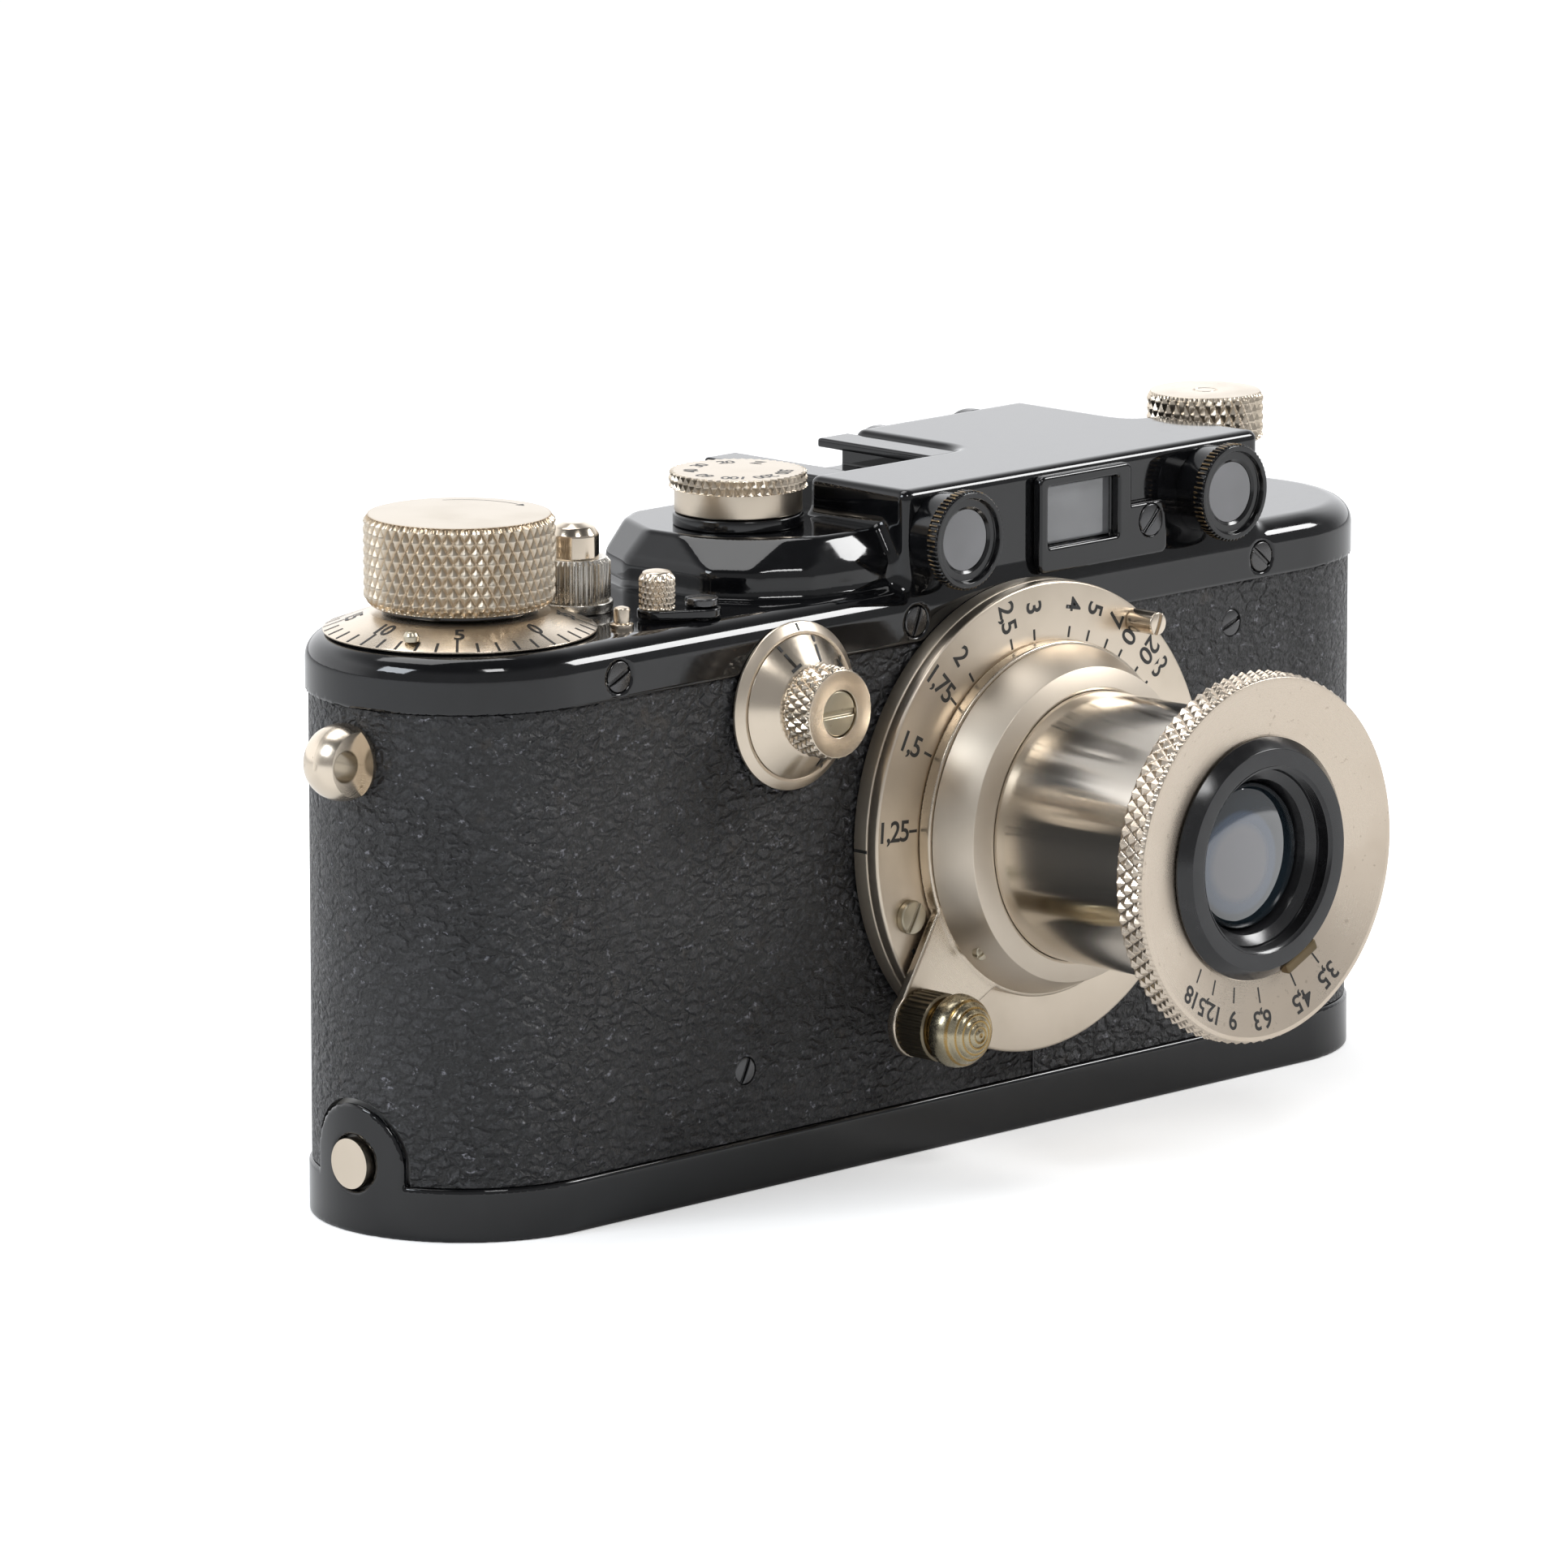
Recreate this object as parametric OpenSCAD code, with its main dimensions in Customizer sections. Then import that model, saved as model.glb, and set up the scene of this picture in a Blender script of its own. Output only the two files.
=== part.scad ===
// 35 mm rangefinder camera with a collapsible 50 mm lens, one module per physical piece.
// Frame: origin at the middle of the base plate's underside, +X towards the rewind end,
// -Y out of the lens, +Z up. Millimetres.

/* [Body] */
// Length of the top plate, end to end
plate_len = 133; // [131:0.5:135]
// Depth of the top plate, front to back
plate_depth = 30.4; // [30:0.1:31]
// Height of the base plate's rim
base_h = 5.2; // [4.8:0.1:5.6]
// Height at which the covering ends and the top plate begins
cover_top = 50.6; // [50:0.1:51]
// Height of the top plate's flat upper surface
plate_top = 56; // [55.8:0.1:56.4]
// Thickness of the covering
cover_t = 0.8; // [0.6:0.1:0.9]

/* [Knobs and dials] */
// Axis of the winding knob, counter, take-up spool and winding shaft
wind_x = -52; // [-52.4:0.1:-51.6]
// Radius of the winding knob
wind_r = 9.1; // [8.5:0.1:9.5]
// Axis of the release button and sprocket shaft
release_x = -36.9; // [-37:0.1:-36.8]
// Axis of the speed dial and curtain drum
speed_x = -14.7; // [-15:0.1:-14.4]
// Radius of the speed dial's rim
speed_r = 6.8; // [6.4:0.1:7]
// Axis of the rewind knob and its forked shaft
rewind_x = 51.9; // [51.7:0.1:52.3]
// Radius of the rewind knob
rewind_r = 5.85; // [5.5:0.05:6]
// Axis of the slow-speed dial, sideways
slow_x = -22.6; // [-23:0.1:-22]
// Axis of the slow-speed dial, height
slow_z = 46.8; // [46.4:0.1:47]

/* [Finders] */
// Axis of the rangefinder window nearer the speed dial
rf_left_x = -1.7; // [-2:0.1:-1.4]
// Distance between the two rangefinder windows (the base length)
rf_base = 37.8; // [37.5:0.1:38]
// Height of the rangefinder windows' axes
rf_z = 60.5; // [60.3:0.1:60.7]
// Height of the rangefinder housing's top
house_top = 65.4; // [65.2:0.1:65.8]

/* [Lens] */
// Lens axis, sideways
lens_x = 8.9; // [8.7:0.1:9.1]
// Lens axis, height
lens_z = 31.8; // [31.6:0.1:32]
// Radius of the mount ring and of the lens's scale disc
disc_r = 23.2; // [22.8:0.1:23.4]
// Outer radius of the collapsible tube
tube_r = 13.3; // [13:0.1:13.4]
// Outer radius of the knurled front ring
front_r = 18; // [17.6:0.1:18.1]
// How far the tube slides in when it collapses
collapse = 19.5; // [17:0.5:19.5]

/* [Hidden] */
$fn = 72;
eps = 0.01;

// Clearances: shafts in their bores, and pieces of one body face to face
run = 0.06;

// Body outlines, each a stadium with half-round ends
cover_len = plate_len - 0.6;
cover_depth = plate_depth - 0.6;
shell_len = cover_len - 2 * cover_t;
shell_depth = cover_depth - 2 * cover_t;
shell_t = 1.2;
inner_len = shell_len - 2 * shell_t;
inner_depth = shell_depth - 2 * shell_t;
lip_len = shell_len - 1.2;
lip_depth = shell_depth - 0.8;
shell_bottom = 1.6;
shell_top = 53.6;
plate_y = -plate_depth / 2;
cover_y = -cover_depth / 2;
plate_wall = 1;
plate_ceiling = plate_top - 1.2;
base_depth = plate_depth - 0.2;
base_wall = 0.8;
base_floor = 1.2;

// Hook end of the base plate
stud_z = 6.8;
stud_r = 2.42;
ear_r = 5.7;
ear_end = -plate_len / 2;
lock_x = 50;
lock_r = 8.4;
bush_x = -46;
bush_bore_r = 4.76;

// Mount and lens stations along the lens axis, measured as -Y
flange_front = -17;
flange_back = plate_y - 0.05;
disc_front = -18.3;
thread_r = 19.5;
neck_r = 20.9;
helix_r = 17;
lever_back = disc_front - 0.05;
lever_front = -19.8;
lever_ring_r = 17.5;
barrel_front = -23.9;
barrel_nose = -24.5;
barrel_r = 15.4;
barrel_foot_r = 17.2;
barrel_back = -10.6;
barrel_bore_r = 14.3;
lip_front = barrel_front + 1.2;
tube_back = -12.9;
knurl_back = -44.4;
front_face = -47.9;
ap_front = -48.1;
ap_bore_r = 9.1;
knob_dx = -18.9;
knob_dz = -17.3;
knob_r = 3.4;
stop_post = [12.9, 17.84];
stop_screw = [-18.8, -7.1];

// Housings on the top plate
house_front = -14.6;
house_left = -6.5;
house_right = 44;
bar_back = -1.3;
block_left = 15.9;
block_right = 40;
block_back = 14.4;
speed_top = 61.6;
speed_shoulder = 58.7;
shoe_x = [-4.4, 15.7];
shoe_base = speed_top - 0.4;
rf_right_x = rf_left_x + rf_base;
vf_x = 17.4;
eye_x = 33.8;

// Strap lugs
lug_x = 67.4;
lug_z = 45.5;
lug_r = 3.7;
lug_bore_r = 1.5;
lug_bore_out = 1.4;
lug_flat = 2;

// Film path
gate_w = 36;
gate_h = 24;
crate = [[-28.5, -12.4, 8.2], [37.5, 11.8, 50.5]];
drum_y = 0;
drum_r = 8.2;
roller_x = 32.5;
roller_y = [5.4, -1.6];
roller_r = 2.6;
gear_teeth = 20;
gear_z = [51.4, 53.2];
gear_gap = 0.35;

// ---- helpers ----

// Upright stadium prism from z0 to z1
module stadium(len, depth, z0, z1) {
    r = depth / 2;
    translate([0, 0, z0]) linear_extrude(z1 - z0) {
        square([len - depth, depth], center = true);
        for (s = [-1, 1]) translate([s * (len / 2 - r), 0]) circle(r);
    }
}

// Half profile of a bar whose upper edge is rounded by e
module rounded_half(r, h, e) {
    square([r, h - e]);
    square([r - e, h]);
    translate([r - e, h - e]) circle(e);
}

// Upright stadium with its upper edge rounded by e
module rounded_stadium(len, depth, z0, z1, e) {
    r = depth / 2;
    translate([0, 0, z0]) {
        for (s = [-1, 1]) translate([s * (len / 2 - r), 0, 0])
            rotate_extrude() rounded_half(r, z1 - z0, e);
        rotate([90, 0, 90]) linear_extrude(len - depth, center = true) {
            rounded_half(r, z1 - z0, e);
            mirror([1, 0]) rounded_half(r, z1 - z0, e);
        }
    }
}

// Upright rod or tube on an axis
module rod_z(x, y, z0, z1, r) {
    translate([x, y, z0]) cylinder(h = z1 - z0, r = r);
}
module tube_z(x, y, z0, z1, ro, ri) {
    difference() {
        rod_z(x, y, z0, z1, ro);
        rod_z(x, y, z0 - eps, z1 + eps, ri);
    }
}

// Rod or tube along Y
module rod_y(x, z, y0, y1, r) {
    translate([x, y0, z]) rotate([-90, 0, 0]) cylinder(h = y1 - y0, r = r);
}
module tube_y(x, z, y0, y1, ro, ri) {
    difference() {
        rod_y(x, z, y0, y1, ro);
        rod_y(x, z, y0 - eps, y1 + eps, ri);
    }
}
module on_lens() {
    translate([lens_x, 0, lens_z]) children();
}

// Solid of revolution about the lens axis: profile points are [radius, y]
module lens_turn(points) {
    on_lens() rotate([-90, 0, 0]) rotate_extrude() polygon(points);
}

// Box from two corners
module span(a, b) {
    translate(a) cube(b - a);
}

// Slotted screw head along Y: its face at y0, sunk to y1
module head_y(x, z, y0, y1, r, turn) {
    difference() {
        rod_y(x, z, min(y0, y1), max(y0, y1), r);
        translate([x, y0, z]) rotate([0, turn, 0]) cube([2 * r + 1, 0.8, 0.45], center = true);
    }
}

// Gear blank with straight-sided teeth, standing on z0
module gear(x, teeth, pitch_r, z0, z1, turn) {
    pitch = 360 / teeth;
    root_r = pitch_r - 0.85;
    tip_r = pitch_r + 0.55;
    translate([x, 0, z0]) rotate([0, 0, turn]) linear_extrude(z1 - z0) {
        circle(root_r);
        for (k = [0 : teeth - 1]) rotate(k * pitch)
            polygon([[0, -0.75], [root_r, -0.75], [tip_r, -0.3], [tip_r, 0.3], [root_r, 0.75], [0, 0.75]]);
    }
}

// Round wire wound into a helix between z0 and z1
module coil(r, wire, turns, z0, z1) {
    per = 10;
    sides = 6;
    n = turns * per;
    rise = (z1 - z0 - 2 * wire) / n;
    pts = [
        for (i = [0 : n]) for (k = [0 : sides - 1])
            let (a = i * 360 / per, b = k * 360 / sides, q = r + wire * cos(b))
            [q * cos(a), q * sin(a), z0 + wire + i * rise + wire * sin(b)]
    ];
    walls = [
        for (i = [0 : n - 1]) for (k = [0 : sides - 1])
            let (m = (k + 1) % sides)
            [i * sides + k, i * sides + m, (i + 1) * sides + m, (i + 1) * sides + k]
    ];
    first_cap = [[for (k = [sides - 1 : -1 : 0]) k]];
    last_cap = [[for (k = [0 : sides - 1]) n * sides + k]];
    polyhedron(pts, concat(walls, first_cap, last_cap));
}

// ---- case ----

module body_shell() color("dimgray") {
    difference() {
        union() {
            stadium(shell_len, shell_depth, base_h + 0.1, shell_top);
            stadium(lip_len, lip_depth, shell_bottom, base_h + 0.2);
        }
        stadium(inner_len, inner_depth, shell_bottom - 1, shell_top + 1);
        rod_y(lens_x, lens_z, -20, 0, neck_r + 0.05);
        rod_y(slow_x, slow_z, -20, 0, 2.3);
        translate([-shell_len / 2 - 2, 0, stud_z]) rotate([0, 90, 0]) cylinder(h = 5, r = 1.6);
        for (s = [-1, 1]) translate([s * shell_len / 2, 0, lug_z]) rotate([0, 90, 0])
            cylinder(h = 5, r = 1.6, center = true);
    }
}

module body_covering() color([0.16, 0.16, 0.17]) {
    difference() {
        stadium(cover_len, cover_depth, base_h + 0.1, cover_top - 0.1);
        stadium(shell_len, shell_depth, 0, cover_top + 1);
        rod_y(lens_x, lens_z, -20, 0, neck_r + 0.1);
        rod_y(slow_x, slow_z, -20, 0, 2.4);
        translate([ear_end - 2, 0, stud_z]) rotate([0, 90, 0]) cylinder(h = 20, r = ear_r + 0.5);
        span([ear_end - 2, -ear_r - 0.5, 0], [ear_end + 18, ear_r + 0.5, stud_z]);
        for (s = [-1, 1]) translate([s * cover_len / 2, 0, lug_z]) rotate([0, 90, 0])
            cylinder(h = 8, r = 3.1, center = true);
        for (p = cover_screw_places) rod_y(p[0], p[1], -16, -13.9, 1.4);
    }
}
cover_screw_places = [[-28.8, 12], [39.7, 46.5]];
plate_screw_x = [-45.8, -5.6, 43.8];
plate_screw_z = 52.7;

// Shaft holes through the top plate: [x, y, radius]
plate_holes = [
    [wind_x, 0, 3 + run], [release_x, 0, 1.9], [rewind_x, 0, 2 + run],
    [speed_x, 0, 1.5 + run], [-31.3, -11.6, 0.9]
];

// Outline of the speed dial's housing, at its shoulder and at its top
speed_low = [[-25.2, 5], [-24.4, -5.5], [-21.8, -9.2], [-17.4, -12.2], [-12, -13], [0, -13],
    [0, 13.2], [-18, 13.2], [-22.5, 10.5]];
speed_high = [[-23.4, 4], [-22.4, -1.5], [-20.3, -7.2], [-17.3, -10.6], [-12, -11.2], [0, -11.2],
    [0, 12], [-17, 12], [-20.6, 9.5]];

module speed_housing(z0, inset) {
    s = 1 - inset;
    translate([speed_x * inset, 0, 0]) {
        translate([0, 0, z0]) linear_extrude(speed_shoulder - z0)
            polygon([for (p = speed_low) p * s]);
        hull() {
            translate([0, 0, speed_shoulder - eps]) linear_extrude(eps)
                polygon([for (p = speed_low) p * s]);
            translate([0, 0, speed_top - eps - inset * 8]) linear_extrude(eps)
                polygon([for (p = speed_high) p * s]);
        }
    }
}

module top_plate() color([0.05, 0.05, 0.06]) {
    wall = 1.2;
    difference() {
        union() {
            rounded_stadium(plate_len, plate_depth, cover_top, plate_top, 2.2);
            speed_housing(plate_top - 0.5, 0);
            span([house_left, house_front, plate_top - 0.5], [house_right, bar_back, house_top]);
            span([block_left, bar_back - 1, plate_top - 0.5], [block_right, block_back, house_top]);
            span([house_left, -2, plate_top - 0.5], [block_left + 1, block_back, speed_top - 0.4]);
        }
        stadium(plate_len - 2 * plate_wall, plate_depth - 2 * plate_wall, cover_top - 1, plate_ceiling);
        speed_housing(plate_ceiling - 1, 0.11);
        span([house_left + wall, house_front + wall, plate_ceiling - 1],
            [house_right - wall, bar_back - wall, house_top - wall]);
        span([block_left + wall, bar_back - wall - 1, plate_ceiling - 1],
            [block_right - wall, block_back - wall, house_top - wall]);
        span([house_left + 2, -3, plate_ceiling - 1],
            [block_left + wall + 1, block_back - wall, speed_top - 0.4 - wall]);
        span([shoe_x[0] - 0.05, -1.2, shoe_base], [shoe_x[1] + 0.05, block_back + 1, speed_top + 1]);
        for (h = plate_holes) rod_z(h[0], h[1], plate_top - 3, 70, h[2]);
        for (x = [rf_left_x, rf_right_x]) rod_y(x, rf_z, house_front - 1, house_front + wall + 1, 3.9);
        span([12.4, house_front - 1, 57.6], [22.4, house_front + wall + 1, 63.6]);
        rod_y(eye_x, rf_z, block_back - wall - 1, block_back + 1, 3.9);
        rod_y(vf_x + 3.2, rf_z, block_back - wall - 1, block_back + 1, 3);
        rod_y(lens_x, lens_z, plate_y - 1, plate_y + 2, neck_r + 0.1);
        rod_y(slow_x, slow_z, plate_y - 1, plate_y + 2, 2.4);
        for (x = plate_screw_x) for (s = [-1, 1])
            rod_y(x, plate_screw_z, s * 15.3 - 0.75, s * 15.3 + 0.75, 1.55);
    }
}

module case_screws() color([0.08, 0.08, 0.08]) {
    for (i = [0 : len(plate_screw_x) - 1]) {
        head_y(plate_screw_x[i], plate_screw_z, plate_y - 0.1, plate_y + 0.64, 1.5, 20 + 50 * i);
        head_y(plate_screw_x[i], plate_screw_z, -plate_y + 0.1, -plate_y - 0.64, 1.5, 70 * i);
    }
    for (p = cover_screw_places) head_y(p[0], p[1], cover_y - 0.05, cover_y + cover_t, 1.35, 60);
    head_y(27, 58.6, house_front - 1.3, house_front - 0.6, 1.6, 45);
}

// Round strap lug with a cross hole, screwed into each end of the shell
module strap_lugs() color([0.78, 0.76, 0.7]) {
    for (s = [-1, 1]) translate([s * lug_x, 0, lug_z]) difference() {
        rotate([0, 90 * s, 0]) rotate_extrude() {
            intersection() {
                circle(lug_r);
                translate([0, -1.1]) square([lug_r, lug_r + 1.1]);
            }
            translate([0, -1.95]) square([3, 1.95]);
            translate([0, -3.4]) square([1.55, 3.4]);
        }
        for (t = [-1, 1]) translate([s * 4.4, t * (lug_flat + 2), 0]) cube([10, 4, 10], center = true);
        translate([s * lug_bore_out, 0, 0]) rotate([90, 0, 0]) cylinder(h = 10, r = lug_bore_r, center = true);
    }
}

module base_stud() color([0.78, 0.76, 0.7]) {
    x = -shell_len / 2;
    translate([x + 1.2, 0, stud_z]) rotate([0, -90, 0]) {
        cylinder(h = 2.6, r = 1.55);
        translate([0, 0, 1.25]) cylinder(h = 1.5, r = stud_r);
    }
}

module lens_mount_ring() color([0.55, 0.52, 0.46]) {
    difference() {
        union() {
            rod_y(lens_x, lens_z, flange_front, flange_back, disc_r + 0.05);
            rod_y(lens_x, lens_z, flange_back - eps, -12.6, neck_r);
        }
        rod_y(lens_x, lens_z, flange_front - 1, -12, thread_r);
        for (a = [45 : 90 : 315])
            rod_y(lens_x + 21.9 * cos(a), lens_z + 21.9 * sin(a), flange_front - 1, flange_front + 1.2, 1);
    }
}

module mount_screws() color([0.6, 0.58, 0.52]) {
    for (a = [45 : 90 : 315])
        head_y(lens_x + 21.9 * cos(a), lens_z + 21.9 * sin(a), flange_front + 0.1, flange_front + 1.2, 1, a);
}

// ---- inside ----

module shutter_crate() color([0.35, 0.35, 0.36]) {
    t = 1.2;
    lo = crate[0];
    hi = crate[1];
    difference() {
        span(lo, hi);
        span([lo[0] + t, lo[1] + t, lo[2] + t], [hi[0] - t, hi[1] - t - 0.2, hi[2] - t]);
        rod_y(lens_x, lens_z, lo[1] - 1, lo[1] + t + 1, thread_r + 1.6);
        span([lens_x - gate_w / 2, hi[1] - 3, lens_z - gate_h / 2],
            [lens_x + gate_w / 2, hi[1] + 1, lens_z + gate_h / 2]);
        span([slow_x - 3, lo[1] - 1, slow_z - 3], [slow_x + 3, lo[1] + t + 1, slow_z + 3]);
        rod_z(speed_x, drum_y, lo[2] - 1, hi[2] + 1, 1.5 + run);
        for (y = roller_y) rod_z(roller_x, y, lo[2] - 1, hi[2] + 1, 1 + run);
        rod_z(arm_x, arm_y, hi[2] - t - 1, hi[2] + 1, 1.2 + run);
    }
}

module pressure_plate() color([0.2, 0.2, 0.2]) {
    span([lens_x - 20, 12, lens_z - 14], [lens_x + 20, 12.5, lens_z + 14]);
    for (x = [-12, 12]) span([lens_x + x - 2, 12.55, lens_z - 9], [lens_x + x + 2, 12.85, lens_z + 9]);
}

module shutter_curtains() color([0.1, 0.1, 0.11]) {
    span([-13, 8.6, 15.5], [31, 8.9, 48]);
    span([21, 9.4, 15.5], [32, 9.7, 48]);
}

module curtain_drum() color([0.7, 0.62, 0.4]) {
    rod_z(speed_x, drum_y, 13, 48.6, drum_r);
    rod_z(speed_x, drum_y, crate[0][2] - 1, 51, 1.5);
}

module curtain_roller(y) {
    rod_z(roller_x, y, 13, 48.6, roller_r);
    rod_z(roller_x, y, crate[0][2] - 1, 51, 1);
}
module curtain_roller_a() color([0.7, 0.62, 0.4]) curtain_roller(roller_y[0]);
module curtain_roller_b() color([0.7, 0.62, 0.4]) curtain_roller(roller_y[1]);

// ---- winding, counter and release ----

wind_z = [58.65, 67.3];
module wind_knob() color([0.78, 0.74, 0.66]) {
    difference() {
        translate([wind_x, 0, 0]) rotate_extrude() polygon([
            [0, 58.1], [7.4, 58.1], [7.4, wind_z[0]], [wind_r - 0.7, wind_z[0]], [wind_r, wind_z[0] + 0.7],
            [wind_r, wind_z[1] - 0.7], [wind_r - 0.5, wind_z[1] - 0.25], [0, wind_z[1]]
        ]);
        rod_z(wind_x, 0, 57, 64, 2.5);
    }
}

module wind_shaft() color([0.6, 0.6, 0.6]) {
    rod_z(wind_x, 0, 9, 57.6, 3);
    rod_z(wind_x, 0, 57, 64, 2.5);
    gear(wind_x, gear_teeth, (release_x - wind_x - gear_gap) / 2, gear_z[0], gear_z[1], 0);
}

module take_up_spool() color([0.12, 0.12, 0.12]) {
    difference() {
        union() {
            rod_z(wind_x, 0, 9.5, 50.6, 5);
            rod_z(wind_x, 0, 12.8, 13.8, 11);
            rod_z(wind_x, 0, 49.8, 50.6, 11);
        }
        rod_z(wind_x, 0, 9, 51, 3);
        span([wind_x + 3.6, -1, 16], [wind_x + 6, 1, 46]);
    }
}

counter_r = 13.04;
module counter_dial() color([0.78, 0.74, 0.66]) {
    difference() {
        translate([wind_x, 0, 0]) rotate_extrude() polygon([
            [0, 56.1], [counter_r - 0.14, 56.1], [counter_r, 56.3], [8.6, 57.9], [0, 57.9]
        ]);
        rod_z(wind_x, 0, 56, 58, 3 + run);
    }
}

sprocket_r = 5.9;
module sprocket_shaft() color([0.6, 0.6, 0.6]) {
    difference() {
        union() {
            rod_z(release_x, 0, 9, 54.3, 2.6);
            rod_z(release_x, 0, 16, 47.6, 5.4);
            for (z = [17, 45.2]) translate([release_x, 0, z]) linear_extrude(1.4) {
                circle(sprocket_r - 0.3);
                for (k = [0 : 7]) rotate(k * 45) translate([0, -0.6]) square([sprocket_r + 0.5, 1.2]);
            }
            gear(release_x, gear_teeth, (release_x - wind_x - gear_gap) / 2, gear_z[0], gear_z[1], 9);
        }
        rod_z(release_x, 0, 43.5, 55, 1.2 + run);
    }
}

button_top = 64.6;
module release_button() color([0.8, 0.78, 0.72]) {
    translate([release_x, 0, 0]) rotate_extrude() polygon([
        [0, 47], [1.2, 47], [1.2, 59.3], [2.4, 59.3], [2.4, button_top - 1.1], [2.1, button_top - 0.45],
        [1.2, button_top - 0.1], [0, button_top]
    ]);
}

// Collar round the button, its foot cut away where the counter dial runs past it
module release_collar() color([0.6, 0.6, 0.58]) {
    difference() {
        union() {
            rod_z(release_x, 0, plate_top, 57, 3.9);
            rod_z(release_x, 0, 57 - eps, 61.2, 3.5);
        }
        rod_z(release_x, 0, 57, 62, 2.4 + run);
        rod_z(release_x, 0, 55, 58, 1.5);
        rod_z(wind_x, 0, plate_top - 1, 57.2, counter_r + 0.3);
    }
}

module release_spring() color([0.75, 0.75, 0.75]) {
    translate([release_x, 0, 0]) coil(1.85, 0.22, 4, 57.05, 59.25);
}

module speed_dial() color([0.78, 0.74, 0.66]) {
    difference() {
        translate([speed_x, 0, 0]) rotate_extrude() polygon([
            [0, 62.9], [6.2, 62.9], [6.2, 65.2], [speed_r, 65.4], [speed_r, 66.5],
            [speed_r - 0.3, 66.8], [0, 66.8]
        ]);
        rod_z(speed_x, 0, 62, 66.1, 1.5 + run);
        rod_z(speed_x, 0, 62, 65.2, 3.4);
    }
}

module speed_dial_seat() color([0.08, 0.08, 0.08]) {
    tube_z(speed_x, 0, speed_top + 0.02, 62.8, 6.35, 3.5);
}

module speed_dial_shaft() color([0.6, 0.6, 0.6]) {
    rod_z(speed_x, 0, 51.5, 66, 1.5);
    rod_z(speed_x, 0, 54, 55.5, 3);
}

// ---- rewinding ----

module rewind_knob() color([0.78, 0.74, 0.66]) {
    difference() {
        translate([rewind_x, 0, 0]) rotate_extrude() polygon([
            [0, 56.15], [3.2, 56.15], [3.2, 61.6], [rewind_r, 62], [rewind_r, 66.5],
            [rewind_r - 0.3, 66.8], [0, 66.8]
        ]);
        rod_z(rewind_x, 0, 56, 66, 2 + run);
    }
}

module rewind_shaft() color([0.6, 0.6, 0.6]) {
    rod_z(rewind_x, 0, 48, 65.5, 2);
    rod_z(rewind_x, 0, 53, 54.6, 3.6);
    difference() {
        rod_z(rewind_x, 0, 44, 48.2, 2.6);
        span([rewind_x - 3, -0.7, 43], [rewind_x + 3, 0.7, 46.6]);
    }
}

pivot = [-31.3, -11.6];
stud = [-35, -9.3];
post = [-40.2, -9.8];
lever_turn = atan2(stud[1] - pivot[1], stud[0] - pivot[0]);
module rewind_lever() color([0.06, 0.06, 0.06]) {
    difference() {
        union() {
            rod_z(pivot[0], pivot[1], 56.2, 57.1, 1.9);
            rod_z(stud[0], stud[1], 56.2, 57.1, 1.9);
            translate([pivot[0], pivot[1], 56.2]) rotate([0, 0, lever_turn])
                translate([0, -1.5, 0]) cube([norm(stud - pivot), 3, 0.9]);
        }
        rod_z(pivot[0], pivot[1], 56, 58, 0.9 + run);
    }
}

module rewind_lever_stud() color([0.78, 0.74, 0.66]) {
    translate([stud[0], stud[1], 57.1]) rotate_extrude() polygon([
        [0, 0], [1.7, 0], [1.7, 2.9], [1.4, 3.4], [0.7, 3.75], [0, 3.85]
    ]);
}

// Shouldered screw the lever turns on, and the post it stops against
module rewind_lever_screw() color([0.08, 0.08, 0.08]) {
    difference() {
        union() {
            rod_z(pivot[0], pivot[1], 55, 57.3, 0.9);
            rod_z(pivot[0], pivot[1], 57.2, 58, 1.6);
        }
        translate([pivot[0], pivot[1], 58]) cube([5, 0.5, 0.8], center = true);
    }
    rod_z(post[0], post[1], plate_top, 58.4, 0.8);
}

// ---- slow speeds ----

module slow_speed_ring() color([0.78, 0.74, 0.66]) {
    translate([slow_x, 0, slow_z]) rotate([-90, 0, 0]) rotate_extrude()
        polygon([[1.6, -12.6], [2.2, -12.6], [2.2, -15.25], [8.2, -15.25], [8.15, -15.55],
            [7.25, -16.05], [7, -16.05], [7, -15.7], [0, -15.7], [0, -15.25], [1.6, -15.25]]);
}

module slow_speed_dial() color([0.78, 0.74, 0.66]) {
    translate([slow_x, 0, slow_z]) rotate([-90, 0, 0]) rotate_extrude()
        polygon([[0, -20.6], [2.25, -20.6], [2.25, -21.5], [4.2, -21.5], [4.4, -21.2], [4.4, -18],
            [4.7, -17.9], [6.95, -16.15], [6.95, -15.75], [0, -15.75]]);
}

module slow_speed_screw() color([0.7, 0.66, 0.5]) {
    head_y(slow_x, slow_z, -21.45, -20.6, 2.2, 0);
}

// ---- finders and shoe ----

module accessory_shoe() color([0.08, 0.08, 0.09]) {
    difference() {
        span([shoe_x[0], -1.1, shoe_base], [shoe_x[1], 15, 65]);
        span([shoe_x[0] + 0.75, -2, shoe_base + 0.7], [shoe_x[1] - 0.75, 16, 64.1]);
        span([shoe_x[0] + 4.2, -2, 63], [shoe_x[1] - 4.2, 16, 66]);
    }
}

module viewfinder_frame() color([0.05, 0.05, 0.06]) {
    f = house_front;
    difference() {
        union() {
            span([11.2, f - 1.1, 55.4], [24.3, f, 64.7]);
            span([24, f - 1.1, 55.4], [29.4, f, 60.4]);
        }
        span([12.4, f - 2, 57.6], [22.4, f + 1, 63.6]);
        rod_y(27, 58.6, f - 2, f - 0.6, 1.65);
    }
}

module finder_windows() color([0.6, 0.65, 0.7, 0.5]) {
    span([12.5, house_front + 0.2, 57.7], [22.3, house_front + 1, 63.5]);
    for (x = [rf_left_x, rf_right_x]) rod_y(x, rf_z, -18, -17.2, 3);
}

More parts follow.
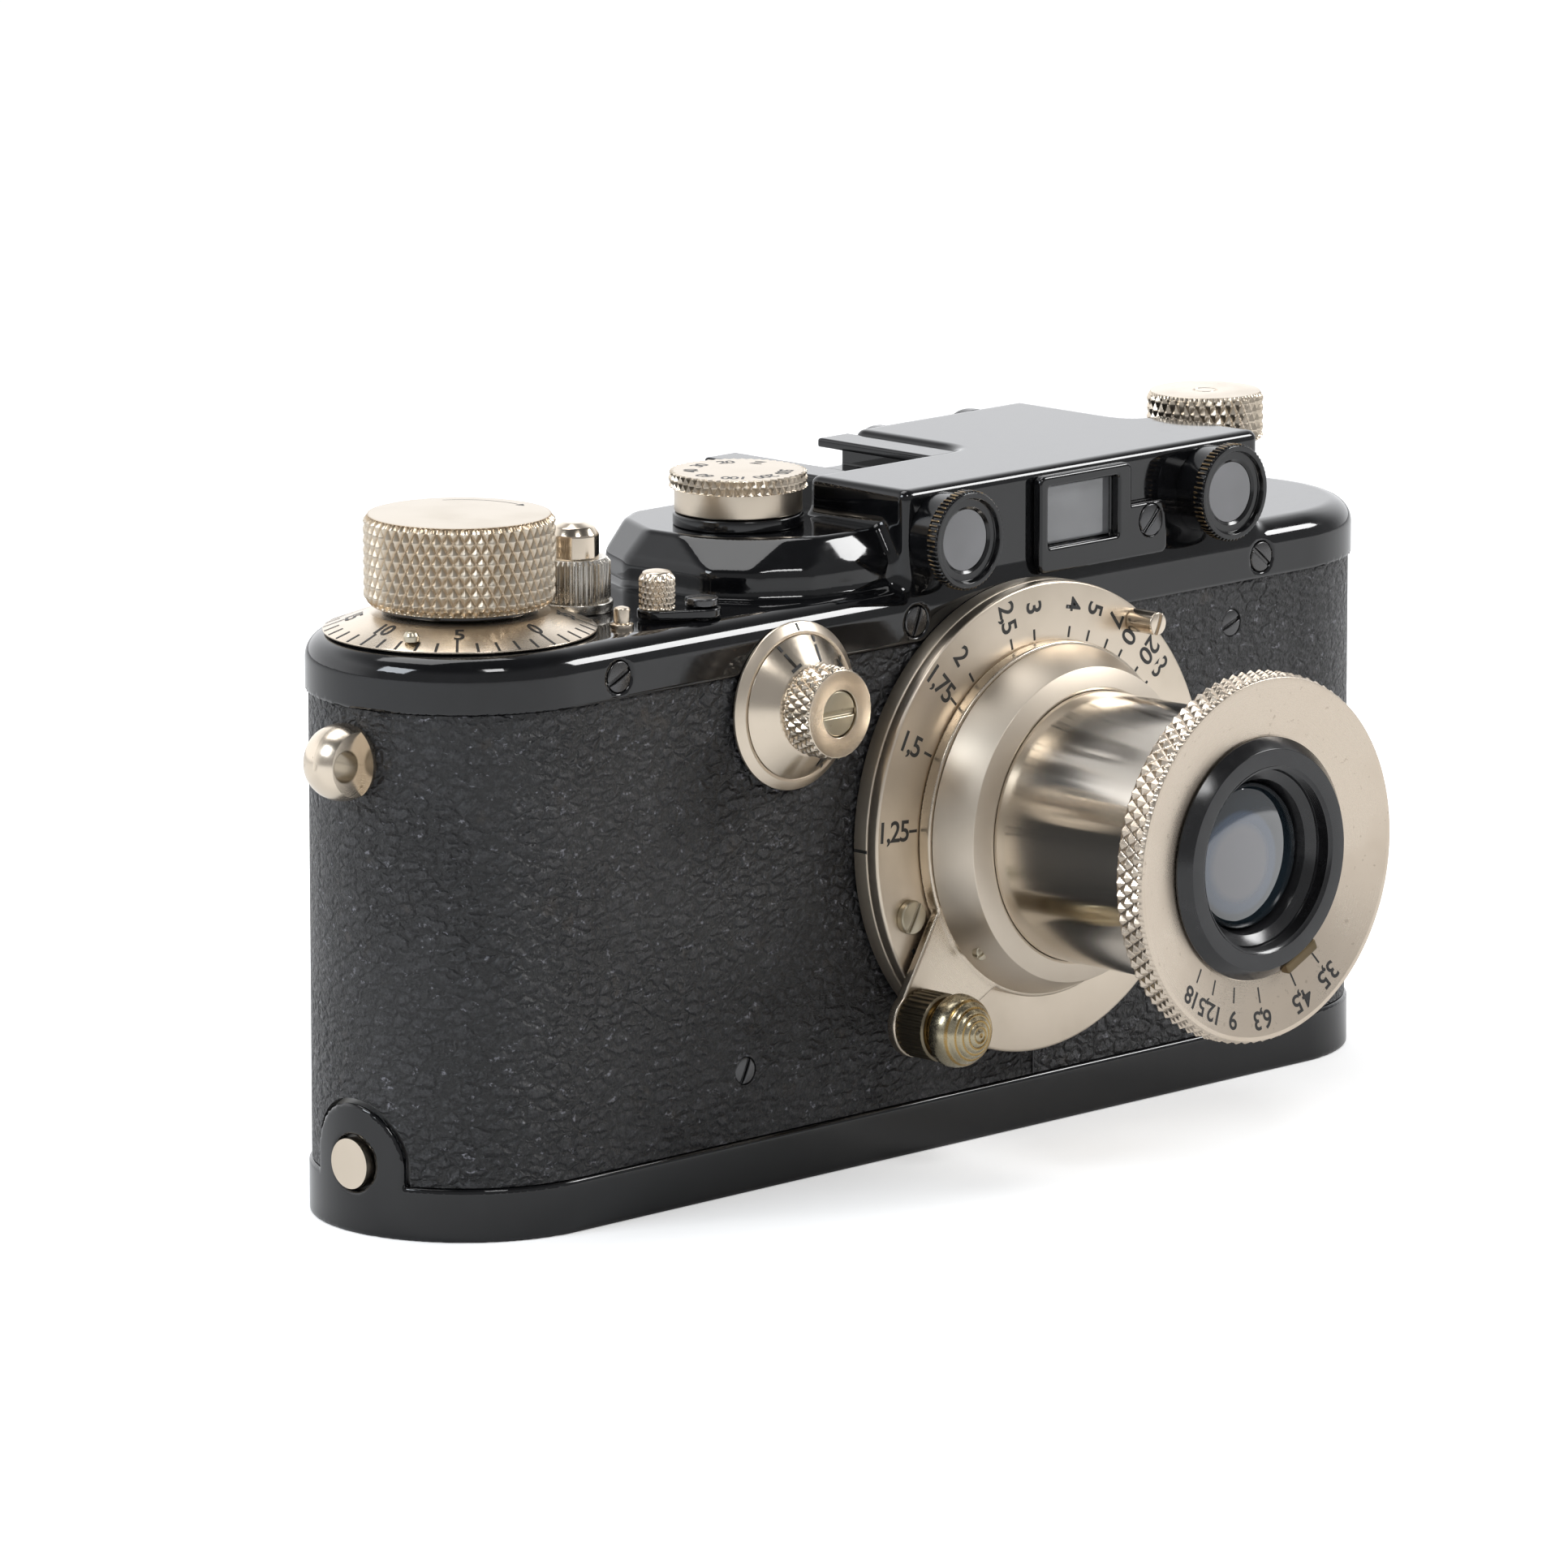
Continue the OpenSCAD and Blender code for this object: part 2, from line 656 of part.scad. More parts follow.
module rangefinder_rims() color([0.06, 0.06, 0.06]) {
    for (x = [rf_left_x, rf_right_x]) difference() {
        union() {
            rod_y(x, rf_z, house_front - 3.6, house_front, 4.4);
            rod_y(x, rf_z, house_front - 4, house_front - 2.8, 4.85);
            rod_y(x, rf_z, house_front - eps, house_front + 1.2, 3.85);
        }
        rod_y(x, rf_z, -20, -18.1, 4.1);
        rod_y(x, rf_z, -18.2, -13, 3.02);
    }
}

module viewfinder_eyepiece() color([0.06, 0.06, 0.06]) {
    x = vf_x + 3.2;
    tube_y(x, rf_z, block_back, block_back + 1.6, 4.6, 2.4);
    tube_y(x, rf_z, block_back - 1.1, block_back + eps, 2.95, 2.4);
    rod_y(x, rf_z, block_back - 0.5, block_back + 0.4, 2.4);
}

module rangefinder_eyepiece() color([0.06, 0.06, 0.06]) {
    tube_y(eye_x, rf_z, block_back, block_back + 2.6, 3.6, 2.4);
    tube_y(eye_x, rf_z, block_back - 1.1, block_back + eps, 3.85, 2.4);
    rod_y(eye_x, rf_z, block_back - 0.5, block_back + 0.4, 2.4);
}

// Ring with a short arm that turns round the rangefinder eyepiece
module diopter_ring() color([0.06, 0.06, 0.06]) {
    y0 = block_back + 0.1;
    difference() {
        union() {
            rod_y(eye_x, rf_z, y0, y0 + 1.6, 4.7);
            translate([eye_x, y0, rf_z]) rotate([0, -60, 0]) translate([0, 0, -1]) cube([7.5, 1, 2]);
        }
        rod_y(eye_x, rf_z, y0 - 1, y0 + 3, 3.6 + run);
    }
}

module rangefinder_prism() color([0.7, 0.75, 0.8, 0.6]) {
    span([rf_right_x - 3.4, -9.5, 57.2], [rf_right_x + 3.4, -3.2, 63.6]);
}

// Sensing arm: roller on the coupling ring, upright shaft, and the swinging prism on top
arm_x = -3.6;
arm_y = -6.6;
arm_z = [46.5, 48.4];
roller_arm_r = 2;
module rangefinder_arm() color([0.65, 0.6, 0.45]) {
    rod_z(arm_x, arm_y, arm_z[0], 57.2, 1.2);
    rod_z(arm_x, arm_y, arm_z[0], arm_z[1], 2.2);
    span([arm_x, arm_y - 0.8, arm_z[0]], [lens_x, arm_y + 1, arm_z[1]]);
    rod_z(lens_x, arm_y, arm_z[0], arm_z[1], roller_arm_r);
    span([arm_x - 0.9, arm_y - 2, 57], [arm_x + 3.2, arm_y + 2, 63.4]);
}

// ---- base plate ----

module base_plate() color([0.06, 0.06, 0.07]) {
    boss_r = lock_r + 1.4;
    end_x = -(plate_len - base_depth) / 2;
    difference() {
        union() {
            difference() {
                stadium(plate_len, base_depth, 0, base_h);
                stadium(plate_len - 2 * base_wall, base_depth - 2 * base_wall, base_floor, base_h + 1);
            }
            intersection() {
                rod_z(lock_x, 0, 0, 3, boss_r);
                stadium(plate_len - 1, base_depth - 1, 0, base_h);
            }
            intersection() {
                difference() {
                    rod_z(end_x, 0, 1, 20, base_depth / 2);
                    rod_z(end_x, 0, 0, 21, base_depth / 2 - 0.6);
                }
                union() {
                    translate([ear_end - 1, 0, stud_z]) rotate([0, 90, 0]) cylinder(h = 12, r = ear_r);
                    span([ear_end - 1, -ear_r, 1], [ear_end + 8, ear_r, stud_z]);
                }
            }
        }
        translate([ear_end - 2, 0, stud_z]) rotate([0, 90, 0]) cylinder(h = 8, r = stud_r + 0.35);
        rod_z(lock_x, 0, -1, 1.8, lock_r + 0.1);
        rod_z(lock_x, 0, -1, 4, 3 + run);
        rod_z(bush_x, 0, -1, 2, 6.5);
    }
}

module tripod_bush() color([0.7, 0.66, 0.5]) {
    difference() {
        union() {
            rod_z(bush_x, 0, 0, 6.8, 6.5);
            rod_z(bush_x, 0, base_floor, 2.4, 8.5);
        }
        rod_z(bush_x, 0, -1, 6, bush_bore_r);
    }
}

wing_y = -2.6;
wing_z = 0.85;
module base_lock() color([0.06, 0.06, 0.07]) {
    difference() {
        union() {
            rod_z(lock_x, 0, 0.15, 1.75, lock_r);
            rod_z(lock_x, 0, 1.7, 4.4, 3);
        }
        span([lock_x - 6, wing_y - 0.7, -1], [lock_x + 6, wing_y + 6.4, 1.3]);
        translate([lock_x - 6.7, wing_y, wing_z]) rotate([0, 90, 0]) cylinder(h = 13.4, r = 0.4 + run);
    }
}

module base_latch() color([0.6, 0.6, 0.6]) {
    difference() {
        translate([lock_x - 8, -2.6, 3.1]) cube([16, 6.2, 1.1]);
        rod_z(lock_x, 0, 3, 5, 3);
    }
}

// Half-round wing that folds flat into the lock's face
module base_wing() color([0.5, 0.5, 0.48]) {
    difference() {
        union() {
            translate([lock_x - 6.6, wing_y, wing_z]) rotate([0, 90, 0]) cylinder(h = 13.2, r = 0.4);
            intersection() {
                span([lock_x - 5.8, wing_y, wing_z - 0.35], [lock_x + 5.8, wing_y + 5.8, wing_z + 0.35]);
                rod_z(lock_x, wing_y, 0, 2, 5.8);
            }
        }
        rod_z(lock_x, wing_y + 1.6, 0, 2, 1.4);
    }
}

// ---- lens ----

module focus_flange() color([0.78, 0.74, 0.66]) {
    lens_turn([
        [helix_r + run, -11], [helix_r + run, disc_front], [disc_r - 0.3, disc_front],
        [disc_r, disc_front + 0.3], [disc_r, flange_front], [thread_r, flange_front], [thread_r, -11]
    ]);
}

// Stop screw beside the lever and the tall stop post at the near-focus end
module focus_stops() color([0.75, 0.7, 0.55]) {
    on_lens() {
        translate([stop_screw[0], 0, stop_screw[1]]) head_y(0, 0, disc_front - 0.9, disc_front, 1.65, 60);
        translate([stop_post[0], 0, stop_post[1]]) head_y(0, 0, disc_front - 3.4, disc_front, 1.15, 70);
    }
}

ring_rear = -8.75;
module coupling_ring() color([0.65, 0.6, 0.45]) {
    on_lens() tube_y(0, 0, barrel_back + 0.05, ring_rear, helix_r, 14.6);
}

module focusing_barrel() color([0.76, 0.73, 0.67]) {
    lens_turn([
        [barrel_bore_r, barrel_back], [barrel_bore_r, lip_front], [tube_r + run, lip_front],
        [tube_r + run, barrel_nose + 0.1], [tube_r + 0.3, barrel_nose], [barrel_r, barrel_front],
        [barrel_foot_r, lever_front - 0.02], [barrel_r + 0.1, lever_front - 0.02],
        [barrel_r + 0.1, lever_back], [helix_r, lever_back], [helix_r, barrel_back]
    ]);
}

module focusing_lever() color([0.78, 0.74, 0.66]) {
    knob_a = atan2(knob_dz, knob_dx);
    reach = norm([knob_dx, knob_dz]);
    on_lens() difference() {
        union() {
            rod_y(0, 0, lever_front, lever_back, lever_ring_r);
            rod_y(knob_dx, knob_dz, lever_front, lever_front + 1, knob_r);
            rotate([90, 0, 0]) translate([0, 0, -lever_front - 1]) linear_extrude(1) rotate(knob_a)
                polygon([[0, -6.5], [15.5, -6.1], [reach, -knob_r], [reach, knob_r], [15.5, 6.1], [0, 6.5]]);
        }
        rod_y(0, 0, lever_front - 1, lever_back + 1, barrel_r + 0.1);
    }
}

module focus_knob() color([0.35, 0.3, 0.2]) {
    on_lens() difference() {
        rod_y(knob_dx, knob_dz, -23.4, lever_front, 3.3);
        rod_y(knob_dx, knob_dz, -24, -20.6, 2.6 + run);
    }
}

module infinity_button() color([0.75, 0.66, 0.4]) {
    on_lens() translate([knob_dx, 0, knob_dz]) rotate([-90, 0, 0]) rotate_extrude()
        polygon([[0, -22], [2.6, -22], [2.6, -24.4], [3.6, -24.4], [3.6, -25.6], [3, -27],
            [1.8, -27.9], [0, -28.2]]);
}

module brake_ring() color([0.25, 0.2, 0.18]) {
    on_lens() tube_y(0, 0, lip_front + 0.1, tube_back - 1.05, barrel_bore_r - run, tube_r + run);
}

module lens_tube() color([0.8, 0.77, 0.72]) {
    lens_turn([
        [12.1, tube_back], [12.1, knurl_back - 0.6], [tube_r, knurl_back - 0.6], [tube_r, tube_back - 1],
        [barrel_bore_r - run, tube_back - 1], [barrel_bore_r - run, tube_back]
    ]);
}

module front_ring() color([0.78, 0.74, 0.66]) {
    lens_turn([
        [tube_r, knurl_back], [front_r - 0.5, knurl_back], [front_r, knurl_back - 0.5],
        [front_r, front_face + 0.9], [front_r - 0.5, front_face], [11.9, front_face + 1.2],
        [10.7, front_face + 1.2], [10.7, knurl_back + 0.4], [9, knurl_back + 0.4], [9, -37],
        [12.1, -37], [12.1, knurl_back - 0.6], [tube_r, knurl_back - 0.6]
    ]);
}

module aperture_ring() color([0.05, 0.05, 0.05]) {
    lens_turn([
        [10.64, knurl_back + 0.3], [10.64, front_face + 1.1], [11.8, front_face + 1.1],
        [11.8, front_face + 0.9], [10.75, ap_front], [ap_bore_r, ap_front + 0.3], [7.2, -44.6],
        [7.2, knurl_back + 0.3]
    ]);
}

// Ten blades nearly wide open, drawn as one leaf with a ten-sided opening
module iris() color([0.1, 0.1, 0.1]) {
    on_lens() rotate([90, 0, 0]) translate([0, 0, 39.7]) linear_extrude(0.4) difference() {
        circle(8.9);
        circle(6.9, $fn = 10);
    }
}

// Front meniscus, middle element and cemented rear pair
module lens_elements() color([0.5, 0.55, 0.7, 0.4]) {
    lens_turn([[0, -43], [0, -44.8], [3.5, -44.3], [7, -42.9], [8.95, -42.4], [8.95, -41.4], [7, -41.6]]);
    lens_turn([[0, -38.6], [4, -38.9], [7.5, -39.4], [8.9, -39.4], [8.9, -37.2], [7, -37.2], [0, -37.9]]);
    lens_turn([[0, -36.6], [6, -36.2], [8.9, -36.2], [8.9, -32.6], [6, -32.2], [0, -31.6]]);
}

body_shell();
body_covering();
top_plate();
case_screws();
strap_lugs();
base_stud();
lens_mount_ring();
mount_screws();
shutter_crate();
pressure_plate();
shutter_curtains();
curtain_drum();
curtain_roller_a();
curtain_roller_b();
wind_knob();
wind_shaft();
take_up_spool();
counter_dial();
sprocket_shaft();
release_button();
release_collar();
release_spring();
speed_dial();
speed_dial_seat();
speed_dial_shaft();
rewind_knob();
rewind_shaft();
rewind_lever();
rewind_lever_stud();
rewind_lever_screw();
slow_speed_ring();
slow_speed_dial();
slow_speed_screw();
accessory_shoe();
viewfinder_frame();
finder_windows();
viewfinder_eyepiece();
rangefinder_eyepiece();
diopter_ring();
rangefinder_rims();
rangefinder_prism();
rangefinder_arm();
base_plate();
tripod_bush();
base_lock();
base_latch();
base_wing();
focus_flange();
focus_stops();
coupling_ring();
focusing_barrel();
focusing_lever();
focus_knob();
infinity_button();
brake_ring();
lens_tube();
front_ring();
aperture_ring();
iris();
lens_elements();
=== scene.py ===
import math
import bmesh
import bpy
import numpy as np
from mathutils import Matrix, Vector


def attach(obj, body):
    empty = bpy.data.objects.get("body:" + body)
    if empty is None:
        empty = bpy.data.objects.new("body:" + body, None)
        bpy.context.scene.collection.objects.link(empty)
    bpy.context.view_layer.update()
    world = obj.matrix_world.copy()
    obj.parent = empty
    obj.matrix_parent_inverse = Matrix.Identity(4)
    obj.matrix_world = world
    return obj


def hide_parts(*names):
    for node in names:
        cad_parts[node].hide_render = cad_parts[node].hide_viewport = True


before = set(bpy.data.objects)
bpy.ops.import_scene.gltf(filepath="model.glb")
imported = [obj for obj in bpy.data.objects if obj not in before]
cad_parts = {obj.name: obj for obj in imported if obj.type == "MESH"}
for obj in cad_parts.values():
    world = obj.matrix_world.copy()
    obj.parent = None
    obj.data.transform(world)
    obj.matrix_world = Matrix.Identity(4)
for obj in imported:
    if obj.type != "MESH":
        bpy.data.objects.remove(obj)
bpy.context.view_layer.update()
MM = 0.001
TAU = 2 * math.pi

# millimetres: axes across the plate as (x, y), axes into the front as (x, z)
LX, LZ = 8.9, 31.8
LENS_AXIS = (LX, LZ)
LENS_CENTRE = (LX, 0, LZ)
KNOB_OFFSET = (-18.9, -17.3)
WIND_AXIS = (-52, 0)
RELEASE_AXIS = (-36.9, 0)
SPEED_AXIS = (-14.7, 0)
REWIND_AXIS = (51.9, 0)
SLOW_AXIS = (-22.6, 46.8)
SLOW_CENTRE = (-22.6, 0, 46.8)
PIVOT_AXIS = (-31.3, -11.6)
STUD_AXIS = (-35, -9.3)
LUG_BORE = (68.8, 0, 45.5)
FINDER_Z = 60.5
WINDOW_XS = (-1.7, 36.1)
EYE_XS = (20.6, 33.8)
PANE = ((12.4, 57.6), (22.4, 63.6))
FINDER_SCREW = (27, 58.6)
SCREW_XS, SCREW_Z = (-45.8, -5.6, 43.8), 52.7
BODY_LENGTH = 133
HOOK_X, HOOK_Z = -51.4, 6.8
LOCK_X, BUSH_X = 50, -46
PLATE_TOP, WIND_TOP, SPEED_TOP = 56, 67.3, 66.8
DISC_FRONT = -18.3


# ---------- materials ----------

BARE_BRASS = (0.36, 0.25, 0.12)


def new_mat(name):
    m = bpy.data.materials.new(name)
    m.use_nodes = True
    nt = m.node_tree
    return m, nt, nt.nodes["Principled BSDF"]


def math_node(nt, op, a, b=None, clamp=False):
    n = nt.nodes.new("ShaderNodeMath")
    n.operation = op
    n.use_clamp = clamp
    for i, v in enumerate((a, b)):
        if v is None:
            continue
        if isinstance(v, (int, float)):
            n.inputs[i].default_value = v
        else:
            nt.links.new(v, n.inputs[i])
    return n.outputs[0]


def vector_math(nt, op, *args):
    n = nt.nodes.new("ShaderNodeVectorMath")
    n.operation = op
    for sock, v in zip(n.inputs, args):
        if isinstance(v, (tuple, list)):
            sock.default_value = v
        else:
            nt.links.new(v, sock)
    return n.outputs["Value" if op in ("LENGTH", "DOT_PRODUCT") else "Vector"]


def noise(nt, scale, detail=4.0, rough=0.55, vec=None, w=None):
    """Noise in object space; scale is features per millimetre."""
    n = nt.nodes.new("ShaderNodeTexNoise")
    if w is not None:
        n.noise_dimensions = "1D"
        nt.links.new(w, n.inputs["W"])
        n.inputs["Scale"].default_value = scale
    else:
        n.inputs["Scale"].default_value = scale * 1000
        nt.links.new(vec or coords(nt), n.inputs["Vector"])
    n.inputs["Detail"].default_value = detail
    n.inputs["Roughness"].default_value = rough
    return n.outputs["Fac"]


def coords(nt):
    for n in nt.nodes:
        if n.bl_idname == "ShaderNodeTexCoord":
            return n.outputs["Object"]
    return nt.nodes.new("ShaderNodeTexCoord").outputs["Object"]


def remap(nt, v, a, b, c=0.0, d=1.0):
    n = nt.nodes.new("ShaderNodeMapRange")
    n.interpolation_type = "SMOOTHSTEP"
    nt.links.new(v, n.inputs["Value"])
    for key, x in zip(("From Min", "From Max", "To Min", "To Max"), (a, b, c, d)):
        n.inputs[key].default_value = x
    return n.outputs["Result"]


def mix(nt, fac, a, b):
    n = nt.nodes.new("ShaderNodeMix")
    n.data_type = "RGBA"
    nt.links.new(fac, n.inputs[0])
    for sock, v in ((n.inputs[6], a), (n.inputs[7], b)):
        if isinstance(v, (tuple, list)):
            sock.default_value = (*v, 1)
        else:
            nt.links.new(v, sock)
    return n.outputs[2]


def bump(nt, bsdf, height, strength, dist):
    n = nt.nodes.new("ShaderNodeBump")
    n.inputs["Strength"].default_value = strength
    n.inputs["Distance"].default_value = dist * MM
    nt.links.new(height, n.inputs["Height"])
    nt.links.new(n.outputs["Normal"], bsdf.inputs["Normal"])


def radius_from(nt, centre, axis, mirror=False):
    """Distance from an axis through centre (mm), in mm; mirror repeats it on the other side."""
    place = vector_math(nt, "ABSOLUTE", coords(nt)) if mirror else coords(nt)
    away = vector_math(nt, "SUBTRACT", place, [c * MM for c in centre])
    across = vector_math(nt, "MULTIPLY", away, (1000, 0, 1000) if axis == "Y" else (1000, 1000, 0))
    return vector_math(nt, "LENGTH", across)


def metal(name, base, rough, tarnish=0.25, dark=(0.42, 0.36, 0.27), centre=None, axis="Z",
          rings=0.0, grain=0.04, aniso=0.0, spots=0.0, groove_shade=None, mirror=False):
    """Plated metal: patchy tarnish, fine grain, optional turning marks about an axis.
    groove_shade is (r0, r1, colour) of a band about the axis painted darker as shade in its grooves; mirror
    repeats the axis at -x."""
    m, nt, b = new_mat(name)
    b.inputs["Metallic"].default_value = 1
    patch = noise(nt, 0.12, 3, 0.5)
    col = mix(nt, remap(nt, patch, 0.4, 0.8, 0, tarnish), base, dark)
    if spots:
        sp = remap(nt, noise(nt, 1.6, 3, 0.5), 0.66, 0.72, 0, spots)
        col = mix(nt, sp, col, (0.2, 0.14, 0.09))
    # painted shade: the band between r0 and r1 about the axis is darkened toward the given colour
    if groove_shade:
        rad = radius_from(nt, centre, axis, mirror)
        low = math_node(nt, "MULTIPLY", remap(nt, rad, groove_shade[0], groove_shade[1], 1, 0),
            remap(nt, rad, groove_shade[0] - 0.22, groove_shade[0] - 0.17))
        col = mix(nt, low, col, groove_shade[2])
    nt.links.new(col, b.inputs["Base Color"])
    fine = noise(nt, 9, 3, 0.6)
    r = math_node(nt, "ADD", rough - 0.5 * grain * 2, math_node(nt, "MULTIPLY", fine, grain * 2))
    r = math_node(nt, "ADD", r, remap(nt, patch, 0.4, 0.85, 0, 0.2 * tarnish))
    h = fine
    if centre:
        rad = radius_from(nt, centre, axis, mirror)
        ring = noise(nt, 14, 3, 0.7, w=rad)
        r = math_node(nt, "ADD", r, math_node(nt, "MULTIPLY", math_node(nt, "SUBTRACT", ring, 0.5), rings))
        h = math_node(nt, "ADD", math_node(nt, "MULTIPLY", fine, 0.35), ring)
        if aniso:
            b.inputs["Anisotropic"].default_value = aniso
            b.inputs["Anisotropic Rotation"].default_value = 0.25
            t = nt.nodes.new("ShaderNodeTangent")
            t.direction_type = "RADIAL"
            t.axis = axis
            nt.links.new(t.outputs[0], b.inputs["Tangent"])
    nt.links.new(r, b.inputs["Roughness"])
    bump(nt, b, h, 0.35, 0.006 if centre else 0.004)
    return m


def ridged(name, centre, pitch):
    """Turned button whose ridges are worn to brass on their crests."""
    m, nt, b = new_mat(name)
    b.inputs["Metallic"].default_value = 1
    wave = math_node(nt, "SINE", math_node(nt, "MULTIPLY", radius_from(nt, centre, "Y"), TAU / pitch))
    patch = noise(nt, 0.9, 4, 0.6)
    crest = remap(nt, math_node(nt, "ADD", wave, math_node(nt, "MULTIPLY", patch, 0.8)), 0.5, 1.3)
    col = mix(nt, crest, (0.42, 0.37, 0.26), (0.36, 0.24, 0.09))
    col = mix(nt, remap(nt, patch, 0.55, 0.75, 0, 0.4), col, (0.3, 0.29, 0.24))
    nt.links.new(col, b.inputs["Base Color"])
    nt.links.new(remap(nt, noise(nt, 5, 3, 0.6), 0.3, 0.7, 0.16, 0.32), b.inputs["Roughness"])
    return m


def wear_attr(nt):
    a = nt.nodes.new("ShaderNodeAttribute")
    a.attribute_name = "wear"
    return a.outputs["Fac"]


def enamel(name, base=(0.0035, 0.0036, 0.0042), rough=0.05, wear=0.0, orange=0.03, crest=None):
    """Black enamel on brass, worn through where the mesh's wear attribute is high.
    crest is (centre, radius): beyond that radius the brass shows through."""
    m, nt, b = new_mat(name)
    patch = noise(nt, 0.5, 5, 0.6)
    col = mix(nt, remap(nt, patch, 0.4, 0.7), base, tuple(c * 1.5 for c in base))
    nt.links.new(remap(nt, noise(nt, 0.8, 5, 0.65), 0.35, 0.8, rough, rough + 0.07), b.inputs["Roughness"])
    if wear:
        edge = math_node(nt, "MULTIPLY", wear_attr(nt), wear)
        worn = remap(nt, math_node(nt, "ADD", edge, math_node(nt, "MULTIPLY", noise(nt, 1.4, 6, 0.7), 0.9)),
            1.0, 1.12)
        col = mix(nt, worn, col, BARE_BRASS)
        nt.links.new(worn, b.inputs["Metallic"])
    if crest:
        rad = math_node(nt, "ADD", radius_from(nt, crest[0], "Y"),
            math_node(nt, "MULTIPLY", noise(nt, 0.7, 4, 0.6), 0.5))
        worn = remap(nt, rad, crest[1], crest[1] + 0.12)
        col = mix(nt, worn, col, (0.3, 0.21, 0.11))
        nt.links.new(worn, b.inputs["Metallic"])
    nt.links.new(col, b.inputs["Base Color"])
    b.inputs["IOR"].default_value = 1.52
    bump(nt, b, noise(nt, 0.5, 3, 0.5), orange, 0.02)
    return m


def vulcanite(name):
    """Pebbled covering: flattened cells drawn out along the body, fine grain, painted shade in the cell
    creases and painted glints.
    """
    m, nt, b = new_mat(name)
    fine = noise(nt, 3.0, 4, 0.65)
    wobble = nt.nodes.new("ShaderNodeTexNoise")
    wobble.inputs["Scale"].default_value = 900
    wobble.inputs["Detail"].default_value = 3
    nt.links.new(coords(nt), wobble.inputs["Vector"])
    shift = vector_math(nt, "MULTIPLY_ADD", wobble.outputs["Color"], (0.0016, 0.0016, 0.0011), coords(nt))
    stretch = vector_math(nt, "MULTIPLY", shift, (0.5, 0.5, 1.0))
    cell = nt.nodes.new("ShaderNodeTexVoronoi")
    cell.feature = "DISTANCE_TO_EDGE"
    cell.inputs["Scale"].default_value = 950
    nt.links.new(stretch, cell.inputs["Vector"])
    pebble = remap(nt, cell.outputs["Distance"], 0.0, 0.3)
    broad = noise(nt, 0.06, 3, 0.6)
    amount = remap(nt, broad, 0.38, 0.6, 0.45, 1.0)
    h = math_node(nt, "ADD", math_node(nt, "MULTIPLY", fine, 0.5),
        math_node(nt, "MULTIPLY", pebble, amount))
    base = mix(nt, remap(nt, fine, 0.36, 0.64), (0.010, 0.010, 0.011), (0.033, 0.033, 0.035))
    # painted shade: the colour darkens toward the cell edges, in the creases between pebbles
    base = mix(nt, remap(nt, pebble, 0.0, 0.5, 0.7, 0.0), base, (0.005, 0.005, 0.005))
    base = mix(nt, remap(nt, noise(nt, 0.3, 3, 0.6), 0.62, 0.75, 0, 0.5), base, (0.045, 0.036, 0.028))
    # painted glints: small light grey flecks mixed into the colour where two noises peak
    painted_glint = remap(nt, noise(nt, 1.5, 3, 0.6, vec=stretch), 0.61, 0.68)
    base = mix(nt, math_node(nt, "MULTIPLY", painted_glint, remap(nt, fine, 0.45, 0.62)), base, (0.2, 0.2, 0.225))
    nt.links.new(base, b.inputs["Base Color"])
    nt.links.new(remap(nt, fine, 0.35, 0.7, 0.5, 0.3), b.inputs["Roughness"])
    bump(nt, b, h, 1.0, 0.42)
    return m


def glass(name, tint, rough=0.02, spec=0.5, ior=1.55, inner=None):
    """Dark coated glass seen against a black inside: a deep tint under a clear coat.
    inner is (centre, radius, colour, rim colour) of a painted reflection: a lighter disc with a tinted ring
    in the glass's colour."""
    m, nt, b = new_mat(name)
    n = noise(nt, 0.09, 2, 0.5)
    col = mix(nt, remap(nt, n, 0.35, 0.65), tint, tuple(0.6 * c for c in tint))
    if inner:
        centre, radius, colour, rim = inner
        # painted reflection: a lighter disc and a tinted ring around it
        rad = math_node(nt, "ADD", radius_from(nt, centre, "Y"), math_node(nt, "MULTIPLY", n, 0.6))
        col = mix(nt, remap(nt, rad, radius, radius + 0.5, 1, 0), col, rim)
        col = mix(nt, remap(nt, rad, radius - 1.6, radius - 0.4, 1, 0), col, colour)
    nt.links.new(col, b.inputs["Base Color"])
    b.inputs["Roughness"].default_value = rough
    b.inputs["IOR"].default_value = ior
    b.inputs["Specular IOR Level"].default_value = spec
    b.inputs["Coat Weight"].default_value = 1
    b.inputs["Coat Roughness"].default_value = 0.01
    return m


NICKEL = (0.70, 0.61, 0.50)
SHADED_NICKEL = (0.62, 0.54, 0.44)
DARK_BROWN = (0.06, 0.05, 0.03)
M = {}
M["enamel"] = enamel("EnamelGloss")
M["enamel_worn"] = enamel("EnamelWorn", rough=0.12, wear=0.5)
M["enamel_plain"] = enamel("EnamelPlain", rough=0.1)
M["paint_fill"] = enamel("PaintFill", base=(0.015, 0.014, 0.013), rough=0.45)
M["screw"] = metal("ScrewBlack", (0.1, 0.1, 0.102), 0.26, 0.2, (0.09, 0.07, 0.05))
M["vulc"] = vulcanite("Vulcanite")
M["nickel"] = metal("NickelSatin", NICKEL, 0.24, 0.3)
